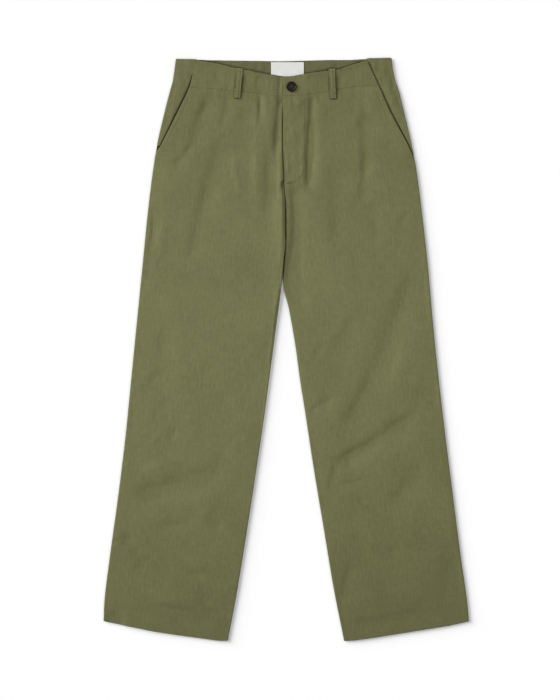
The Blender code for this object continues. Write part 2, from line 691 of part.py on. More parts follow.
def button(collection, cutters, material):
    """A turned button with a raised rim and four holes."""
    rim, dish = BUTTON_RADIUS, BUTTON_RADIUS * 0.70
    profile = (
        (0.0, 0.0022), (dish - 0.0008, 0.0022), (dish + 0.0004, 0.0030), (rim - 0.0014, 0.0032),
        (rim - 0.0003, 0.0026), (rim, 0.0017), (rim - 0.0006, 0.0007), (rim - 0.0022, 0.0), (0.0, 0.0),
    )
    mesh = bpy.data.meshes.new("button")
    edges = [(i, i + 1) for i in range(len(profile) - 1)]
    mesh.from_pydata([(radius, 0.0, height) for radius, height in profile], edges, [])
    mesh.materials.append(material)
    made = bpy.data.objects.new("button", mesh)
    collection.objects.link(made)
    base = BAND_TOP_LEFT[0][1] + SEAM_GAP
    made.location = (*BUTTON_CENTRE, base)
    turn = made.modifiers.new("turn", "SCREW")
    turn.steps = turn.render_steps = 28
    turn.use_merge_vertices = True
    turn.merge_threshold = 1e-5
    for i in range(4):
        angle = math.pi / 4 + i * math.pi / 2
        shape = bmesh.new()
        bmesh.ops.create_cone(shape, cap_ends=True, segments=10, radius1=0.0009, radius2=0.0009,
                              depth=0.008)
        cutter_mesh = bpy.data.meshes.new(f"button_hole_{i + 1}")
        shape.to_mesh(cutter_mesh)
        shape.free()
        cutter = bpy.data.objects.new(cutter_mesh.name, cutter_mesh)
        cutter.location = (BUTTON_CENTRE[0] + 0.0019 * math.cos(angle),
                           BUTTON_CENTRE[1] + 0.0019 * math.sin(angle), base + 0.0016)
        cutter.hide_render = True
        cutter.display_type = "WIRE"
        cutters.objects.link(cutter)
        hole = made.modifiers.new(f"hole_{i + 1}", "BOOLEAN")
        hole.operation = "DIFFERENCE"
        hole.object = cutter


def main():
    clear_scene()
    trousers = collection_named("work_trousers")
    cutters = collection_named("cutters")
    cutters.hide_render = True
    cloth = material_named("cloth", COLOURS["cloth"], 0.92)
    inside = material_named("cloth_inside", COLOURS["cloth_inside"], 0.92)
    woven_label = material_named("label", COLOURS["label"], 0.75)
    horn = material_named("button", COLOURS["button"], 0.35)
    for leg in (RIGHT, LEFT):
        back_panel(leg, trousers, cloth)
        front_panel(leg, trousers, cloth)
        side_piece(leg, trousers, cloth)
        front_waistband(leg, trousers, cloth)
    back_waistband(trousers, inside)
    fly_shield(trousers, cloth)
    for name, top, bottom in BELT_LOOPS:
        belt_loop(name, top, bottom, trousers, cloth)
    label(trousers, woven_label)
    button(trousers, cutters, horn)


main()
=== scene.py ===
"""The look of a pair of olive herringbone work trousers, laid out flat on their back panels.

Each piece of cloth is a closed shell on the form of its solid, with finer edges, creases, seams and
stitching. All sizes are in metres. Left and right are the wearer's, so the right leg is at -X. The
edges of a piece are named as on a map: west is -X, east is +X, north is the waist.
"""

import math
from functools import partial

import bmesh
import bpy
import numpy as np
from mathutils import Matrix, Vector
from mathutils.bvhtree import BVHTree


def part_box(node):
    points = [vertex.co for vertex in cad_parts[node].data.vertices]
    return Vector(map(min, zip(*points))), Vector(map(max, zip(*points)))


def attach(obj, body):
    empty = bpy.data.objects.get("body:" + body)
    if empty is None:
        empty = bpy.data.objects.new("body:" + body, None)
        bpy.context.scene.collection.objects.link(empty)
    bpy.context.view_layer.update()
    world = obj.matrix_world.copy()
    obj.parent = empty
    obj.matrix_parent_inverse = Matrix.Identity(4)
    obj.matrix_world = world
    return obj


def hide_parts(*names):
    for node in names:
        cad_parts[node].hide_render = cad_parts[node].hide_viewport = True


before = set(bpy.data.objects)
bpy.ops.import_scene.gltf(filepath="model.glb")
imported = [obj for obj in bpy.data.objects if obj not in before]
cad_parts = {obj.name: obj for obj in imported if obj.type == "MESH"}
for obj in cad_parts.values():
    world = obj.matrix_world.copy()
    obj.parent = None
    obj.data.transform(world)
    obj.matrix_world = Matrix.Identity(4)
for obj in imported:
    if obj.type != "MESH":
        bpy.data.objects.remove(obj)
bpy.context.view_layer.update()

RIGHT, LEFT = 1, 2         # also the columns of the tables below
SIDE_NAMES = {RIGHT: "right", LEFT: "left"}
INWARD = {RIGHT: 1, LEFT: -1}        # the way along X to the middle
OUTER_END = {RIGHT: 0, LEFT: -1}     # the outer point of a line from west to east

# Sizes shared with the solids
CLOTH = 0.0012             # wall of a single panel
FOLDED = 0.0018            # two layers pressed together: hems, waistband, pocket and fly edges
SEAM_GAP = 0.0003
SPARE = 0.0001
SEAM_HEIGHT = 0.0026       # side seams and inseams run at half the height of the folded edge
HEM_DEPTH = 0.042
CROTCH_Y = 0.2165
FLY_END_Y = 0.3147
FLY_OVERLAP = 0.006
SHIELD_EAST = 0.0290
POCKET_TUCK = 0.015
LOOP_WIDTH = 0.0130
LOOP_ARCH = 0.0014
LABEL_WALL = 0.0006
SEWN = 0.00005             # an edge that is sewn to the next is hardly rounded off
SEWN_GAP = 0.00002
SEAM_RING = 0.00012        # keeps the shading of a sewn edge within its rim

# Heights and edges
EDGE_TIP = SEAM_HEIGHT + SEAM_GAP / 2
FRONT_ROLL = 0.0026
BACK_ROLL = SEAM_HEIGHT - SEAM_GAP / 2
LIP = 0.0010               # straight strip at the end of a rolled edge, which its rim rounds off
LEAST_TURN = 0.001         # so that the strip of a flat edge keeps its width
FACING_TOP = FOLDED + SEAM_GAP + CLOTH + SPARE
FLY_FLOOR = 0.0038
FLY_TOP = 0.0058
FRONT_MIDDLE = 0.0058
FRONT_FLOOR = 2 * CLOTH + SEAM_GAP + SPARE
HEM_FLOOR = 2 * FOLDED + SEAM_GAP + SPARE
HEM_FADE = 0.010           # from the doubled cloth of a hem to the single cloth
BAND_RELIEF = (-0.0013, 0.0009)   # least and most that creases move the front waistband


def tenths(*rows):
    """Rows that are written in tenths of a millimetre, in metres."""
    return [tuple(value / 10000 for value in row) for row in rows]


# Side seams from waist to hem: height, right x, left x
SIDE_SEAMS = tenths(
    (5500, -2086, 1990), (5207, -2126, 2034), (5056, -2150, 2072), (4905, -2194, 2124),
    (4527, -2292, 2219), (3960, -2424, 2352), (3393, -2519, 2461), (2542, -2623, 2570),
    (1692, -2708, 2668), (558, -2821, 2768), (-576, -2934, 2884), (-1710, -3048, 3018),
    (-2844, -3188, 3162), (-3978, -3344, 3308), (-4734, -3436, 3416), (-5122, -3454, 3454))

# Centre seam down to the crotch, then the inseams: height, x of the right leg's, x of the left leg's
INNER_SEAMS = tenths(
    (5500, -63, -63), (3850, -63, -63), (3147, -37, -37), (2769, -16, -16), (2372, -5, -5),
    (1956, -12, -12), (1692, -40, -40), (1427, -63, -61), (1125, -99, -43), (841, -137, 33),
    (558, -175, 90), (-9, -250, 184), (-576, -326, 260), (-1143, -402, 350), (-2277, -567, 524),
    (-3411, -742, 713), (-4545, -925, 902), (-5490, -1101, 1091))

# Edges across the garment, from west to east: x, y
BACK_WAIST = tenths(
    (-2070, 5495), (-1781, 5490), (-1500, 5477), (-1178, 5468), (-570, 5460), (-110, 5453),
    (336, 5464), (789, 5476), (1243, 5479), (1394, 5488), (1696, 5510), (1990, 5516))
BACK_BAND_SEAM = tenths((-2153, 5070), (-1000, 5055), (-63, 5050), (1000, 5060), (2080, 5080))
FRONT_WAISTS = {
    RIGHT: tenths((-1702, 5469), (-1252, 5396), (-931, 5311), (-685, 5273), (-345, 5207),
                  (-61, 5166), (290, 5166)),
    LEFT: tenths((-63, 5162), (80, 5162), (336, 5207), (789, 5273), (1016, 5302), (1318, 5406),
                 (1538, 5449)),
}
BAND_SEAMS = {
    RIGHT: tenths((-1829, 4959), (-1158, 4914), (-534, 4848), (-213, 4795), (-61, 4791), (290, 4791)),
    LEFT: tenths((-61, 4791), (317, 4810), (732, 4877), (1262, 4970), (1739, 5005)),
}
BAND_SEAM_END_Y = 0.4791   # at the fly
HEMS = {
    RIGHT: tenths((-3454, -5135), (-3100, -5210), (-2481, -5335), (-2008, -5405), (-1252, -5508),
                  (-1101, -5505)),
    LEFT: tenths((1091, -5510), (1280, -5502), (1696, -5444), (2433, -5325), (3095, -5220),
                 (3454, -5138)),
}

# Pocket edge from the waist down to the side seam: height, right x, left x
POCKET_EDGES = tenths(
    (5500, -1690, 1518), (5226, -1734, 1633), (5056, -1792, 1716), (4961, -1828, 1758),
    (4527, -2034, 1947), (3865, -2368, 2298), (3760, -2420, 2345), (3650, -2470, 2400))
POCKET_END = {RIGHT: 0.3827, LEFT: 0.3690}
POCKET_CLOSE = 0.011
POCKET_GAPE = {RIGHT: 0.0008, LEFT: 0.0024}

# How far the fronts draw back from their seam at the crotch
CROTCH_GAPE = {RIGHT: 0.0020, LEFT: 0.0006}
# Hollow beside the left front's crotch: way in from the seam, depth, reach to the seam and away
CROTCH_HOLLOW = (0.0140, 0.0036, 0.0082, 0.0180)

# Inner edge of a front panel from waist to hem: height, height of its tip, turn in degrees, and
# radius of the roll
FRONT_INNER_EDGES = {
    RIGHT: (
        (0.4800, 0.0049, 0, FRONT_ROLL),
        (0.4300, FLY_FLOOR, 0, FRONT_ROLL),
        (0.3100, FLY_FLOOR, 0, FRONT_ROLL),
        (0.2980, 0.0047, 70, 0.0018),
        (0.2750, 0.0067, 90, 0.0016),
        (CROTCH_Y, 0.0070, 90, 0.0016),
        (0.1700, 0.0064, 90, 0.0017),
        (0.1200, 0.0049, 90, 0.0022),
        (0.0500, EDGE_TIP, 90, FRONT_ROLL),
        (-0.5500, EDGE_TIP, 90, FRONT_ROLL),
    ),
    LEFT: (
        (0.4800, 0.0072, 0, FRONT_ROLL),
        (0.4300, FLY_TOP, 0, FRONT_ROLL),
        (0.3100, FLY_TOP, 0, FRONT_ROLL),
        (0.2950, 0.0057, 0, FRONT_ROLL),
        (0.2700, 0.0064, 0, FRONT_ROLL),
        (0.2450, 0.0064, 0, FRONT_ROLL),
        (CROTCH_Y, 0.0061, 0, FRONT_ROLL),
        (0.2040, 0.0050, 40, FRONT_ROLL),
        (0.1880, 0.0037, 70, FRONT_ROLL),
        (0.1650, 0.0024, 90, FRONT_ROLL),
        (0.1300, 0.0020, 90, FRONT_ROLL),
        (0.0800, EDGE_TIP, 90, FRONT_ROLL),
        (-0.5500, EDGE_TIP, 90, FRONT_ROLL),
    ),
}
# How far the back panels' inner edges have turned up: height, degrees
BACK_INNER_TURN = ((0.5500, 0), (CROTCH_Y, 0), (0.2040, 40), (0.1880, 70), (0.1700, 90), (-0.5500, 90))

# Upper face of the front waistband: x, height
BAND_TOPS = {
    RIGHT: tenths((-1840, 60), (-1000, 60), (-250, 59), (-70, 52), (290, 52)),
    LEFT: tenths((-63, 73), (350, 73), (750, 60), (1200, 60), (1700, 60)),
}

# Creases of the front panels, where they are seen: x and y of the start, of the middle and of the
# end, half-width, height (a trough is negative)
CREASES = {
    LEFT: tenths(
        # Thigh and hip
        (430, 4950, 402, 3950, 352, 2980, 46, -32),
        (416, 4450, 397, 3700, 355, 3020, 44, -32),
        (520, 4900, 550, 3500, 600, 1200, 140, 10),
        (150, 1900, 165, 1350, 195, 700, 70, -10),
        (270, 1350, 245, 1000, 190, 600, 60, -8),
        (865, 3550, 875, 2700, 890, 1750, 95, -9),
        (1150, 4800, 1215, 4600, 1310, 4330, 50, -9),
        (1370, 5050, 1530, 4620, 1700, 4150, 85, 14),
        (1390, 4600, 1428, 3900, 1425, 3200, 75, -19),
        (1432, 3740, 1415, 3200, 1350, 2700, 55, -17),
        (1540, 3000, 1590, 2400, 1780, 1900, 90, -14),
        (2040, 2345, 2172, 2505, 2330, 2715, 40, -12),
        # Knee and calf
        (2430, 1900, 1800, 40, 770, -1900, 160, -25),
        (2350, 936, 2065, -350, 1690, -980, 150, 14),
        (2590, -250, 2520, -800, 2370, -1230, 110, -12),
        (1325, 790, 1025, 255, 690, -400, 110, -13),
        (720, 260, 520, -50, 280, -350, 70, -9),
        (380, -1180, 640, -985, 1000, -850, 50, -13),
        (2500, -1100, 1650, -1665, 780, -2160, 100, -33),
        (850, -2000, 840, -2400, 710, -2830, 62, -11),
        (850, -2600, 1180, -2490, 1530, -2380, 40, -8),
        (2320, -2000, 2080, -2720, 1500, -3250, 140, -14),
        (2190, -3570, 2000, -3750, 1800, -3900, 60, -8),
        (1240, -3860, 1080, -4400, 1105, -4880, 95, -18),
        (3080, -3650, 2990, -4350, 2860, -5000, 130, -14),
        (1130, -5120, 1960, -5030, 2850, -4760, 90, -15)),
    RIGHT: tenths(
        # Thigh and hip
        (-120, 5300, -178, 4560, -255, 3550, 50, -42),
        (-130, 4850, -160, 3500, -220, 2000, 60, 16),
        (-425, 3850, -400, 3200, -410, 2400, 65, -12),
        (-330, 4900, -620, 3700, -510, 2300, 105, 21),
        (-1335, 5400, -1350, 5150, -1370, 4900, 35, -10),
        (-570, 5280, -550, 4650, -535, 4100, 48, -26),
        (-1165, 5250, -1150, 4750, -1320, 4150, 55, -13),
        (-870, 4550, -850, 4400, -880, 4230, 90, -12),
        (-1142, 4150, -1535, 3150, -1740, 2100, 130, -24),
        (-1680, 2560, -1795, 2050, -1900, 1640, 80, -19),
        (-1085, 3740, -1005, 3300, -910, 2860, 40, 14),
        (-1430, 4980, -1692, 4350, -1845, 3750, 90, -18),
        (-1820, 3980, -1985, 3690, -2270, 3440, 52, -18),
        (-2210, 2100, -2322, 1845, -2490, 1530, 80, -8),
        (-2310, 2620, -2400, 2200, -2490, 1730, 75, 13),
        (-2535, 2700, -2575, 2250, -2620, 1750, 45, -12),
        # Knee and calf
        (-130, 1400, -260, 500, -370, -600, 60, 11),
        (-2265, 760, -2415, 100, -2440, -500, 90, -10),
        (-2120, -200, -2430, -450, -2800, -850, 100, -21),
        (-2350, -1460, -2120, -1530, -1880, -1630, 55, -14),
        (-2620, -1700, -2400, -1570, -2180, -1570, 60, 9),
        (-1480, -1970, -1180, -2045, -870, -2110, 90, -11),
        (-2770, -2310, -2350, -2150, -1930, -2010, 90, 18),
        (-2950, -2665, -2050, -2495, -900, -2145, 140, -34),
        (-2600, -2860, -1725, -2810, -969, -2600, 140, 14),
        (-2660, -3345, -2150, -3265, -1630, -3255, 80, -15),
        (-1560, -3160, -1340, -3310, -1110, -3450, 65, -18),
        (-3200, -3480, -2950, -3700, -2660, -3920, 60, -17),
        (-2150, -4020, -1700, -4210, -1200, -4420, 80, -30),
        (-2970, -4715, -2103, -4915, -1250, -5165, 95, -44),
        (-3600, -4985, -3250, -5035, -2900, -5060, 75, -34),
        (-2900, -4545, -2080, -4735, -1280, -4965, 100, 17),
        (-2080, -3905, -1640, -4090, -1180, -4295, 80, 13)),
}
FACING_FOLD, = tenths((1800, 5400, 2000, 4960, 2160, 4480, 45, -13))    # in the left pocket facing

# Unevenness of laid cloth: length of the waves, height
GROUND = ((0.160, 0.00034), (0.085, 0.00020), (0.046, 0.00012), (0.026, 0.00006), (0.014, 0.00003))
BAND_GROUND = ((0.080, 0.00016), (0.034, 0.00014), (0.016, 0.00008))
BACK_BAND_GROUND = ((0.040, 0.00040), (0.017, 0.00022))
FACING_GROUND = ((0.034, 0.00030), (0.015, 0.00014))
FLY_GROUND = ((0.030, 0.00034), (0.014, 0.00018))
# Seeds of the random draws; the leg's own number is added where both legs draw
SEEDS = {"front": 10, "band_seam": 20, "band": 30, "hem": 40, "fly": 50, "facing": 60, "back_band": 80}

# Columns across a front panel from west to east: width, longest step
FRONT_COLUMNS = {
    RIGHT: ((0.010, 0.0012), (0.150, 0.0031), (0.046, 0.0020), (0.014, 0.0005)),
    LEFT: ((0.048, 0.0014), (0.152, 0.0031), (0.010, 0.0012)),
}
BACK_COLUMNS = ((0.012, 0.002), (0.220, 0.009), (0.012, 0.002))
# Longest step between the rows of a front and of a back panel
FRONT_ROWS, BACK_ROWS = 0.0027, 0.0060
# Heights that have a row of their own, where the edges of the crotch change
FRONT_MARKS = (FLY_END_Y + 0.008, FLY_END_Y, 0.2950, 0.2750, CROTCH_Y, 0.1880, 0.1700)
BACK_MARKS = (CROTCH_Y, 0.2040, 0.1880, 0.1700)

# Belt loops: piece, x and y of the top end, x and y of the bottom end
BELT_LOOPS = (
    ("belt_loop_right", (-0.0874, 0.5320), (-0.0930, 0.4748)),
    ("belt_loop_left", (0.0862, 0.5312), (0.0882, 0.4738)),
)

# Stitching
THREAD_RADIUS = 0.00028
STITCH_LENGTH = 0.0026
STITCH_PITCH = 0.0034
POCKET_STITCH = 0.0062     # from the pocket's edge
BAND_STITCH = 0.0022       # from the waistband's edges
J_STITCH_X = 0.0345
J_STITCH_TURN_Y = 0.3487
SEAM_END = 0.004           # how far a seam stops short of the ends of its edge
PICKS = (0.009, 0.0012)    # pitch and length of the stitches that show of a blind hem

# Weave
COLUMN_WIDTH = 0.0042
TWILL_PITCH = 0.0009
LEG_TILT = {RIGHT: math.radians(-7.2), LEFT: math.radians(6.6)}

# Painted shade where cloth closes in on itself: its reach, openness where it is darkest, openness where
# it ends
CREVICE_SHADE = {"cloth": (0.007, 0.32, 0.86), "cloth_inside": (0.010, 0.56, 0.84)}
COLOURS = {                # linear red, green, blue
    "cloth": (0.151, 0.151, 0.0655),
    "cloth_inside": (0.130, 0.128, 0.0580),
    "thread": (0.200, 0.198, 0.0980),
    "pick_thread": (0.105, 0.103, 0.0450),
    "label": (0.700, 0.700, 0.675),
    "label_thread": (0.720, 0.720, 0.700),
    # painted shade: the near-black thread in the buttonhole's slit
    "slit": (0.02, 0.02, 0.01),
    "button": (0.0110, 0.0086, 0.0042),
    "button_thread": (0.075, 0.068, 0.047),
    "floor": (0.950, 0.950, 0.950),
}

# Stage
KEY_FROM = (-0.80, 0.46, 0.46)
TO_LIGHT = np.array(KEY_FROM[:2]) / math.hypot(*KEY_FROM[:2])    # in plan
# Suns: name, radiance that each gives the floor, where it comes from, angle in degrees
SUNS = (("key", 0.50, KEY_FROM, 43), ("fill", 0.34, (0.20, -0.16, 1.00), 70))
SKY_STRENGTH = 0.17
CAMERA_PLACE = (-0.0118, -0.0009, 3.680)
LENS = 100.0
FLOOR_Z = -0.0002


# ---------------------------------------------------------------- curves and heights

def rise(value, start, width):
    """0 up to start, and smoothly from there to 1 over this width."""
    t = np.clip((value - start) / width, 0.0, 1.0)
    return t * t * (3.0 - 2.0 * t)


def fall(value, start, width):
    return 1 - rise(value, start, width)


def below(value, top, width):
    """0 from top upwards, and smoothly to 1 over this width below it."""
    return rise(top, value, width)


def bell(distance, half_width):
    return np.exp(-((distance / half_width) ** 2))


def smooth_max(a, b, soft=0.0004):
    return (a + b + np.sqrt((a - b) ** 2 + soft**2)) / 2


def unit(vectors):
    return vectors / np.linalg.norm(vectors, axis=-1, keepdims=True)


def smooth_curve(rows, column, at):
    """A column of a table as a smooth function of its first column, with no overshoot."""
    table = np.array(sorted(rows))
    known, value = table[:, 0], table[:, column]
    step = np.diff(known)
    slope = np.diff(value) / step
    tangent = np.concatenate([slope[:1], (slope[1:] + slope[:-1]) / 2, slope[-1:]])
    turning = np.concatenate([[False], slope[1:] * slope[:-1] <= 0, [False]])
    tangent[turning] = 0.0
    at = np.clip(at, known[0], known[-1])
    i = np.clip(np.searchsorted(known, at) - 1, 0, len(step) - 1)
    t = (at - known[i]) / step[i]
    return ((2 * t**3 - 3 * t**2 + 1) * value[i] + (t**3 - 2 * t**2 + t) * step[i] * tangent[i]
            + (3 * t**2 - 2 * t**3) * value[i + 1] + (t**3 - t**2) * step[i] * tangent[i + 1])


def side_x(leg, y):
    return smooth_curve(SIDE_SEAMS, leg, y)


def inner_x(leg, y):
    """The leg's own side of the centre seam and of its inseam."""
    return smooth_curve(INNER_SEAMS, leg, y) - INWARD[leg] * SEWN_GAP / 2


def pocket_x(leg, y):
    return smooth_curve(POCKET_EDGES, leg, y)


def line_y(points, x):
    return np.interp(x, *zip(*points))


def line_part(points, west, east):
    """The part of a line of points between two x values."""
    inside = [point for point in points if west < point[0] < east]
    return [(west, float(line_y(points, west))), *inside, (east, float(line_y(points, east)))]


def lowered(points, gap):
    return [(x, y - gap) for x, y in points]


def crease_profile(crease, x, y):
    """Height that one crease adds at plan points: soft, uneven, and gentler on its far side.

    A crease is seen by its flank towards the light, so that its deepest line lies beyond that.
    """
    seen = np.reshape(crease[:6], (3, 2))
    half_width, height = crease[6:]
    way = unit(seen[2] - seen[0])
    across = np.array([-way[1], way[0]])
    beyond = -np.clip(4 * (across @ TO_LIGHT), -1, 1) * across * (0.0036 + 0.32 * half_width)
    start, middle, end = seen + beyond
    reach = 5 * half_width
    low = np.minimum(np.minimum(start, middle), end) - reach
    high = np.maximum(np.maximum(start, middle), end) + reach
    near = (x > low[0]) & (x < high[0]) & (y > low[1]) & (y < high[1])
    added = np.zeros_like(x)
    if not near.any():
        return added
    pieces = 32
    t = np.linspace(0, 1, pieces + 1)[:, None]
    control = 2 * middle - (start + end) / 2
    path = (1 - t) ** 2 * start + 2 * t * (1 - t) * control + t**2 * end
    run = np.diff(path, axis=0)
    dx = x[near][:, None] - path[:-1, 0]
    dy = y[near][:, None] - path[:-1, 1]
    share = np.clip((dx * run[:, 0] + dy * run[:, 1]) / (run**2).sum(axis=1), 0, 1)
    off_x, off_y = dx - share * run[:, 0], dy - share * run[:, 1]
    apart = np.hypot(off_x, off_y)
    nearest = apart.argmin(axis=1)
    share, apart, off_x, off_y = [part[np.arange(len(nearest)), nearest]
                                  for part in (share, apart, off_x, off_y)]
    along = (nearest + share) / pieces
    lit = (off_x * TO_LIGHT[0] + off_y * TO_LIGHT[1]) / np.maximum(apart, 1e-6)
    phase = 40 * start.sum()
    width = half_width * (1 + 0.22 * np.sin(2 * math.pi * 1.3 * along + phase))
    width = width * (1 + 0.65 * (1 - lit))
    depth = height * (1 + 0.22 * np.sin(2 * math.pi * 2.1 * along + 2 * phase))
    length = np.linalg.norm(run, axis=1).sum()
    aslant = 1 - abs(across @ TO_LIGHT)
    fade = min(0.5, max(0.2, 0.026 / length, 4.5 * half_width / length, 0.62 * aslant))
    added[near] = depth * (rise(along, 0, fade) * below(along, 1, fade)) * bell(apart, width)
    return added


def creases_of(leg, x, y):
    return sum(crease_profile(crease, x, y) for crease in CREASES[leg])


def ground(x, y, seed, rows=GROUND):
    """Broad unevenness: waves of several lengths in directions drawn from a seed."""
    draws = np.random.default_rng(seed)
    total = 0 * x
    waves = 5
    for length, height in rows:
        for _ in range(waves):
            angle, phase = draws.uniform(0, 2 * math.pi, 2)
            place = x * math.cos(angle) + 0.6 * y * math.sin(angle)
            turns = place / (length * draws.uniform(0.8, 1.25))
            total = total + height / math.sqrt(waves) * np.sin(2 * math.pi * turns + phase)
    return total


def puckers(along, away, seed, height=0.00030, reach=0.016):
    """Small gathers across a seam, which die out away from it."""
    draws = np.random.default_rng(seed)
    total = 0 * along
    for period, share in ((0.0285, 1.0), (0.0172, 0.8), (0.0104, 0.5)):
        phase, drift = draws.uniform(0, 2 * math.pi, 2)
        total = total + share * np.sin(2 * math.pi * along / period + phase
                                       + 0.9 * np.sin(along / 0.031 + drift))
    return height * total * np.exp(-np.clip(away, 0, None) / reach)


def roll_radius(turn, roll):
    """Radius of an edge that has turned this far. The same strip of cloth turns at any angle."""
    return (roll - LIP) * (math.pi / 2) / np.maximum(turn, LEAST_TURN)


def roll_drop(turn, radius):
    """How far the tip of a rolled edge lies below the face."""
    return radius * (1 - np.cos(turn)) + LIP * np.sin(turn)


def facing_roll(leg, y):
    """The facing's edge is flatter near the foot of the pocket, where the front closes over it."""
    return FRONT_ROLL - 0.0007 * fall(y, POCKET_END[leg], 0.045)


def facing_top(leg, x, y):
    """Upper face of the pocket facing, which falls away from its rolled edge."""
    edge = EDGE_TIP + facing_roll(leg, y)
    inward = np.abs(x - side_x(leg, y)) - FRONT_ROLL
    return FACING_TOP + (edge - FACING_TOP) * fall(inward, 0, 0.026)


def over_facing(leg, x, y):
    """Upper face of the front panel where it lies on the pocket facing."""
    top = POCKET_EDGES[0][0]
    along = np.clip((top - y) / (top - POCKET_END[leg]), 0, 1)
    gape = POCKET_GAPE[leg] * np.sin(math.pi * along) ** 2
    return facing_top(leg, x, y) + SEAM_GAP + FOLDED + SPARE + gape


def front_outer_x(leg, y):
    """A front panel's outer edge: the pocket edge, and the side seam below it."""
    closed = below(y, POCKET_END[leg], POCKET_CLOSE)
    return pocket_x(leg, y) + (side_x(leg, y) - pocket_x(leg, y)) * closed


def front_outer_edge(leg, y):
    """(level, turn, roll) of that edge: it lies on the facing, and rolls down to the seam below."""
    closed = below(y, POCKET_END[leg], POCKET_CLOSE)
    on_facing = over_facing(leg, front_outer_x(leg, y), np.maximum(y, POCKET_END[leg]))
    level = on_facing + (EDGE_TIP + FRONT_ROLL - on_facing) * closed
    return level, closed * math.pi / 2, FRONT_ROLL


def front_inner_edge(leg, y):
    tip, turn, roll = [smooth_curve(FRONT_INNER_EDGES[leg], column, y) for column in (1, 2, 3)]
    turn = np.radians(turn)
    return tip + roll_drop(turn, roll_radius(turn, roll)), turn, roll


def band_top(leg, x):
    return smooth_curve(BAND_TOPS[leg], 1, x)


def band_relief(leg, x, y):
    """What creases add to the front waistband, away from the fly."""
    relief = 0.8 * creases_of(leg, x, y) + ground(x, y, SEEDS["band"] + leg, BAND_GROUND)
    return np.clip(relief, *BAND_RELIEF) * rise(np.abs(x - 0.008), 0.0145, 0.006)


def j_stitch():
    """Plan points of the fly's J-shaped seam: straight down, then a quarter of an ellipse."""
    turn = np.linspace(0, math.pi / 2, 16)
    end_x, end_y = 0.0005, FLY_END_Y - 0.0010
    curve = np.stack([end_x + (J_STITCH_X - end_x) * np.cos(turn),
                      J_STITCH_TURN_Y + (end_y - J_STITCH_TURN_Y) * np.sin(turn)], axis=-1)
    return np.vstack([[(J_STITCH_X, 0.4780)], curve])


def inside_j(x, y):
    """1 on the doubled cloth between the fly's edge and its J-shaped seam, and 0 away from it."""
    down = np.clip((J_STITCH_TURN_Y - y) / (J_STITCH_TURN_Y - FLY_END_Y), 0, None)
    outwards = np.hypot(np.clip(x, 0, None) / J_STITCH_X, down) - 1
    return fall(outwards * J_STITCH_X / 0.005, -0.5, 1)


def under_fly(y):
    """How far the right front reaches under the fly at a height."""
    return FLY_OVERLAP * rise(y, FLY_END_Y, 0.008)


def front_height(leg, x, y, outer_level, inner_level, outer_away, inner_away):
    """Upper face of a front panel, from the levels of its two edges and the way to each."""
    at_crotch = below(y, 0.318, 0.030) * rise(y, 0.070, 0.060)
    near_outer = bell(outer_away, 0.024)
    near_inner = bell(inner_away, 0.016 + (0.010 * at_crotch if leg == RIGHT else 0))
    if leg == RIGHT:
        beside = np.clip(inner_away - np.maximum(under_fly(y) - 0.0031, 0), 0, None)
        near_inner = near_inner + (bell(beside, 0.0010) - near_inner) * rise(y, 0.283, 0.022)
    face = FRONT_MIDDLE + (outer_level - FRONT_MIDDLE) * near_outer
    face = face + (inner_level - FRONT_MIDDLE) * near_inner * (1 - near_outer)
    to_seam = line_y(BAND_SEAMS[leg], x) - y
    above_hem = y - line_y(HEMS[leg], x)
    gathers = puckers(x, to_seam, SEEDS["band_seam"] + leg)
    relief = creases_of(leg, x, y) + ground(x, y, SEEDS["front"] + leg) + gathers
    relief = relief + puckers(x + 0.6 * y, above_hem, SEEDS["hem"] + leg, height=0.00010, reach=0.020)
    if leg == RIGHT:
        above_crotch = rise(y, 0.130, 0.060) * below(y, 0.470, 0.05)
        relief = relief + 0.0009 * bell(beside - 0.0055, 0.0055) * above_crotch
    else:
        way_in, depth, to_edge, to_middle = CROTCH_HOLLOW
        hollow = inner_away - way_in
        face = face - depth * bell(hollow, np.where(hollow < 0, to_edge, to_middle)) * at_crotch
        relief = relief + 0.0005 * inside_j(x, y)
        relief = relief + inside_j(x, y) * ground(x, y, SEEDS["fly"], FLY_GROUND)
    off_edges = rise(outer_away, 0, 0.010) * rise(inner_away, 0, 0.004)
    face = smooth_max(face + relief * off_edges, FRONT_FLOOR)
    face = face + (smooth_max(face, HEM_FLOOR) - face) * fall(above_hem, HEM_DEPTH, HEM_FADE)
    face = face + 0.00030 * bell(above_hem - HEM_DEPTH, 0.0035)
    on_tuck = fall(outer_away - POCKET_TUCK, 0.002, 0.020) * (y > POCKET_END[leg])
    face = face + (np.maximum(face, over_facing(leg, x, y)) - face) * on_tuck
    pocket = rise(y, POCKET_END[leg], 0.004)
    face = face - 0.00022 * bell(outer_away + LIP - POCKET_STITCH, 0.0013) * pocket
    if leg == LEFT:
        face = face + (smooth_max(face, FLY_TOP) - face) * inside_j(x, y)
    on_band = band_top(leg, x) - (FOLDED - CLOTH) / 2
    middle = FRONT_MIDDLE + (inner_level - FRONT_MIDDLE) * near_inner
    face = face + (on_band - middle) * fall(to_seam, 0, 0.045)
    seam = on_band + band_relief(leg, x, line_y(BAND_SEAMS[leg], x)) + 0.6 * gathers
    return face + (seam - face) * fall(to_seam, 0, 0.012)


def stations(longest, *marks):
    """Rows from 0 to 1, one at each mark, and none further apart than longest."""
    ends = sorted({0.0, 1.0, *marks})
    rows = [0.0]
    for low, high in zip(ends, ends[1:]):
        count = max(1, math.ceil((high - low) / longest))
        rows += [low + (high - low) * (i + 1) / count for i in range(count)]
    return np.array(rows)


def graded(*zones):
    """Shares of a row for zones of (width, longest step), from west to east."""
    steps = [0.0]
    for width, longest in zones:
        count = math.ceil(width / longest)
        steps += [width / count] * count
    marks = np.cumsum(steps)
    return marks / marks[-1]


# ---------------------------------------------------------------- sheets and shells

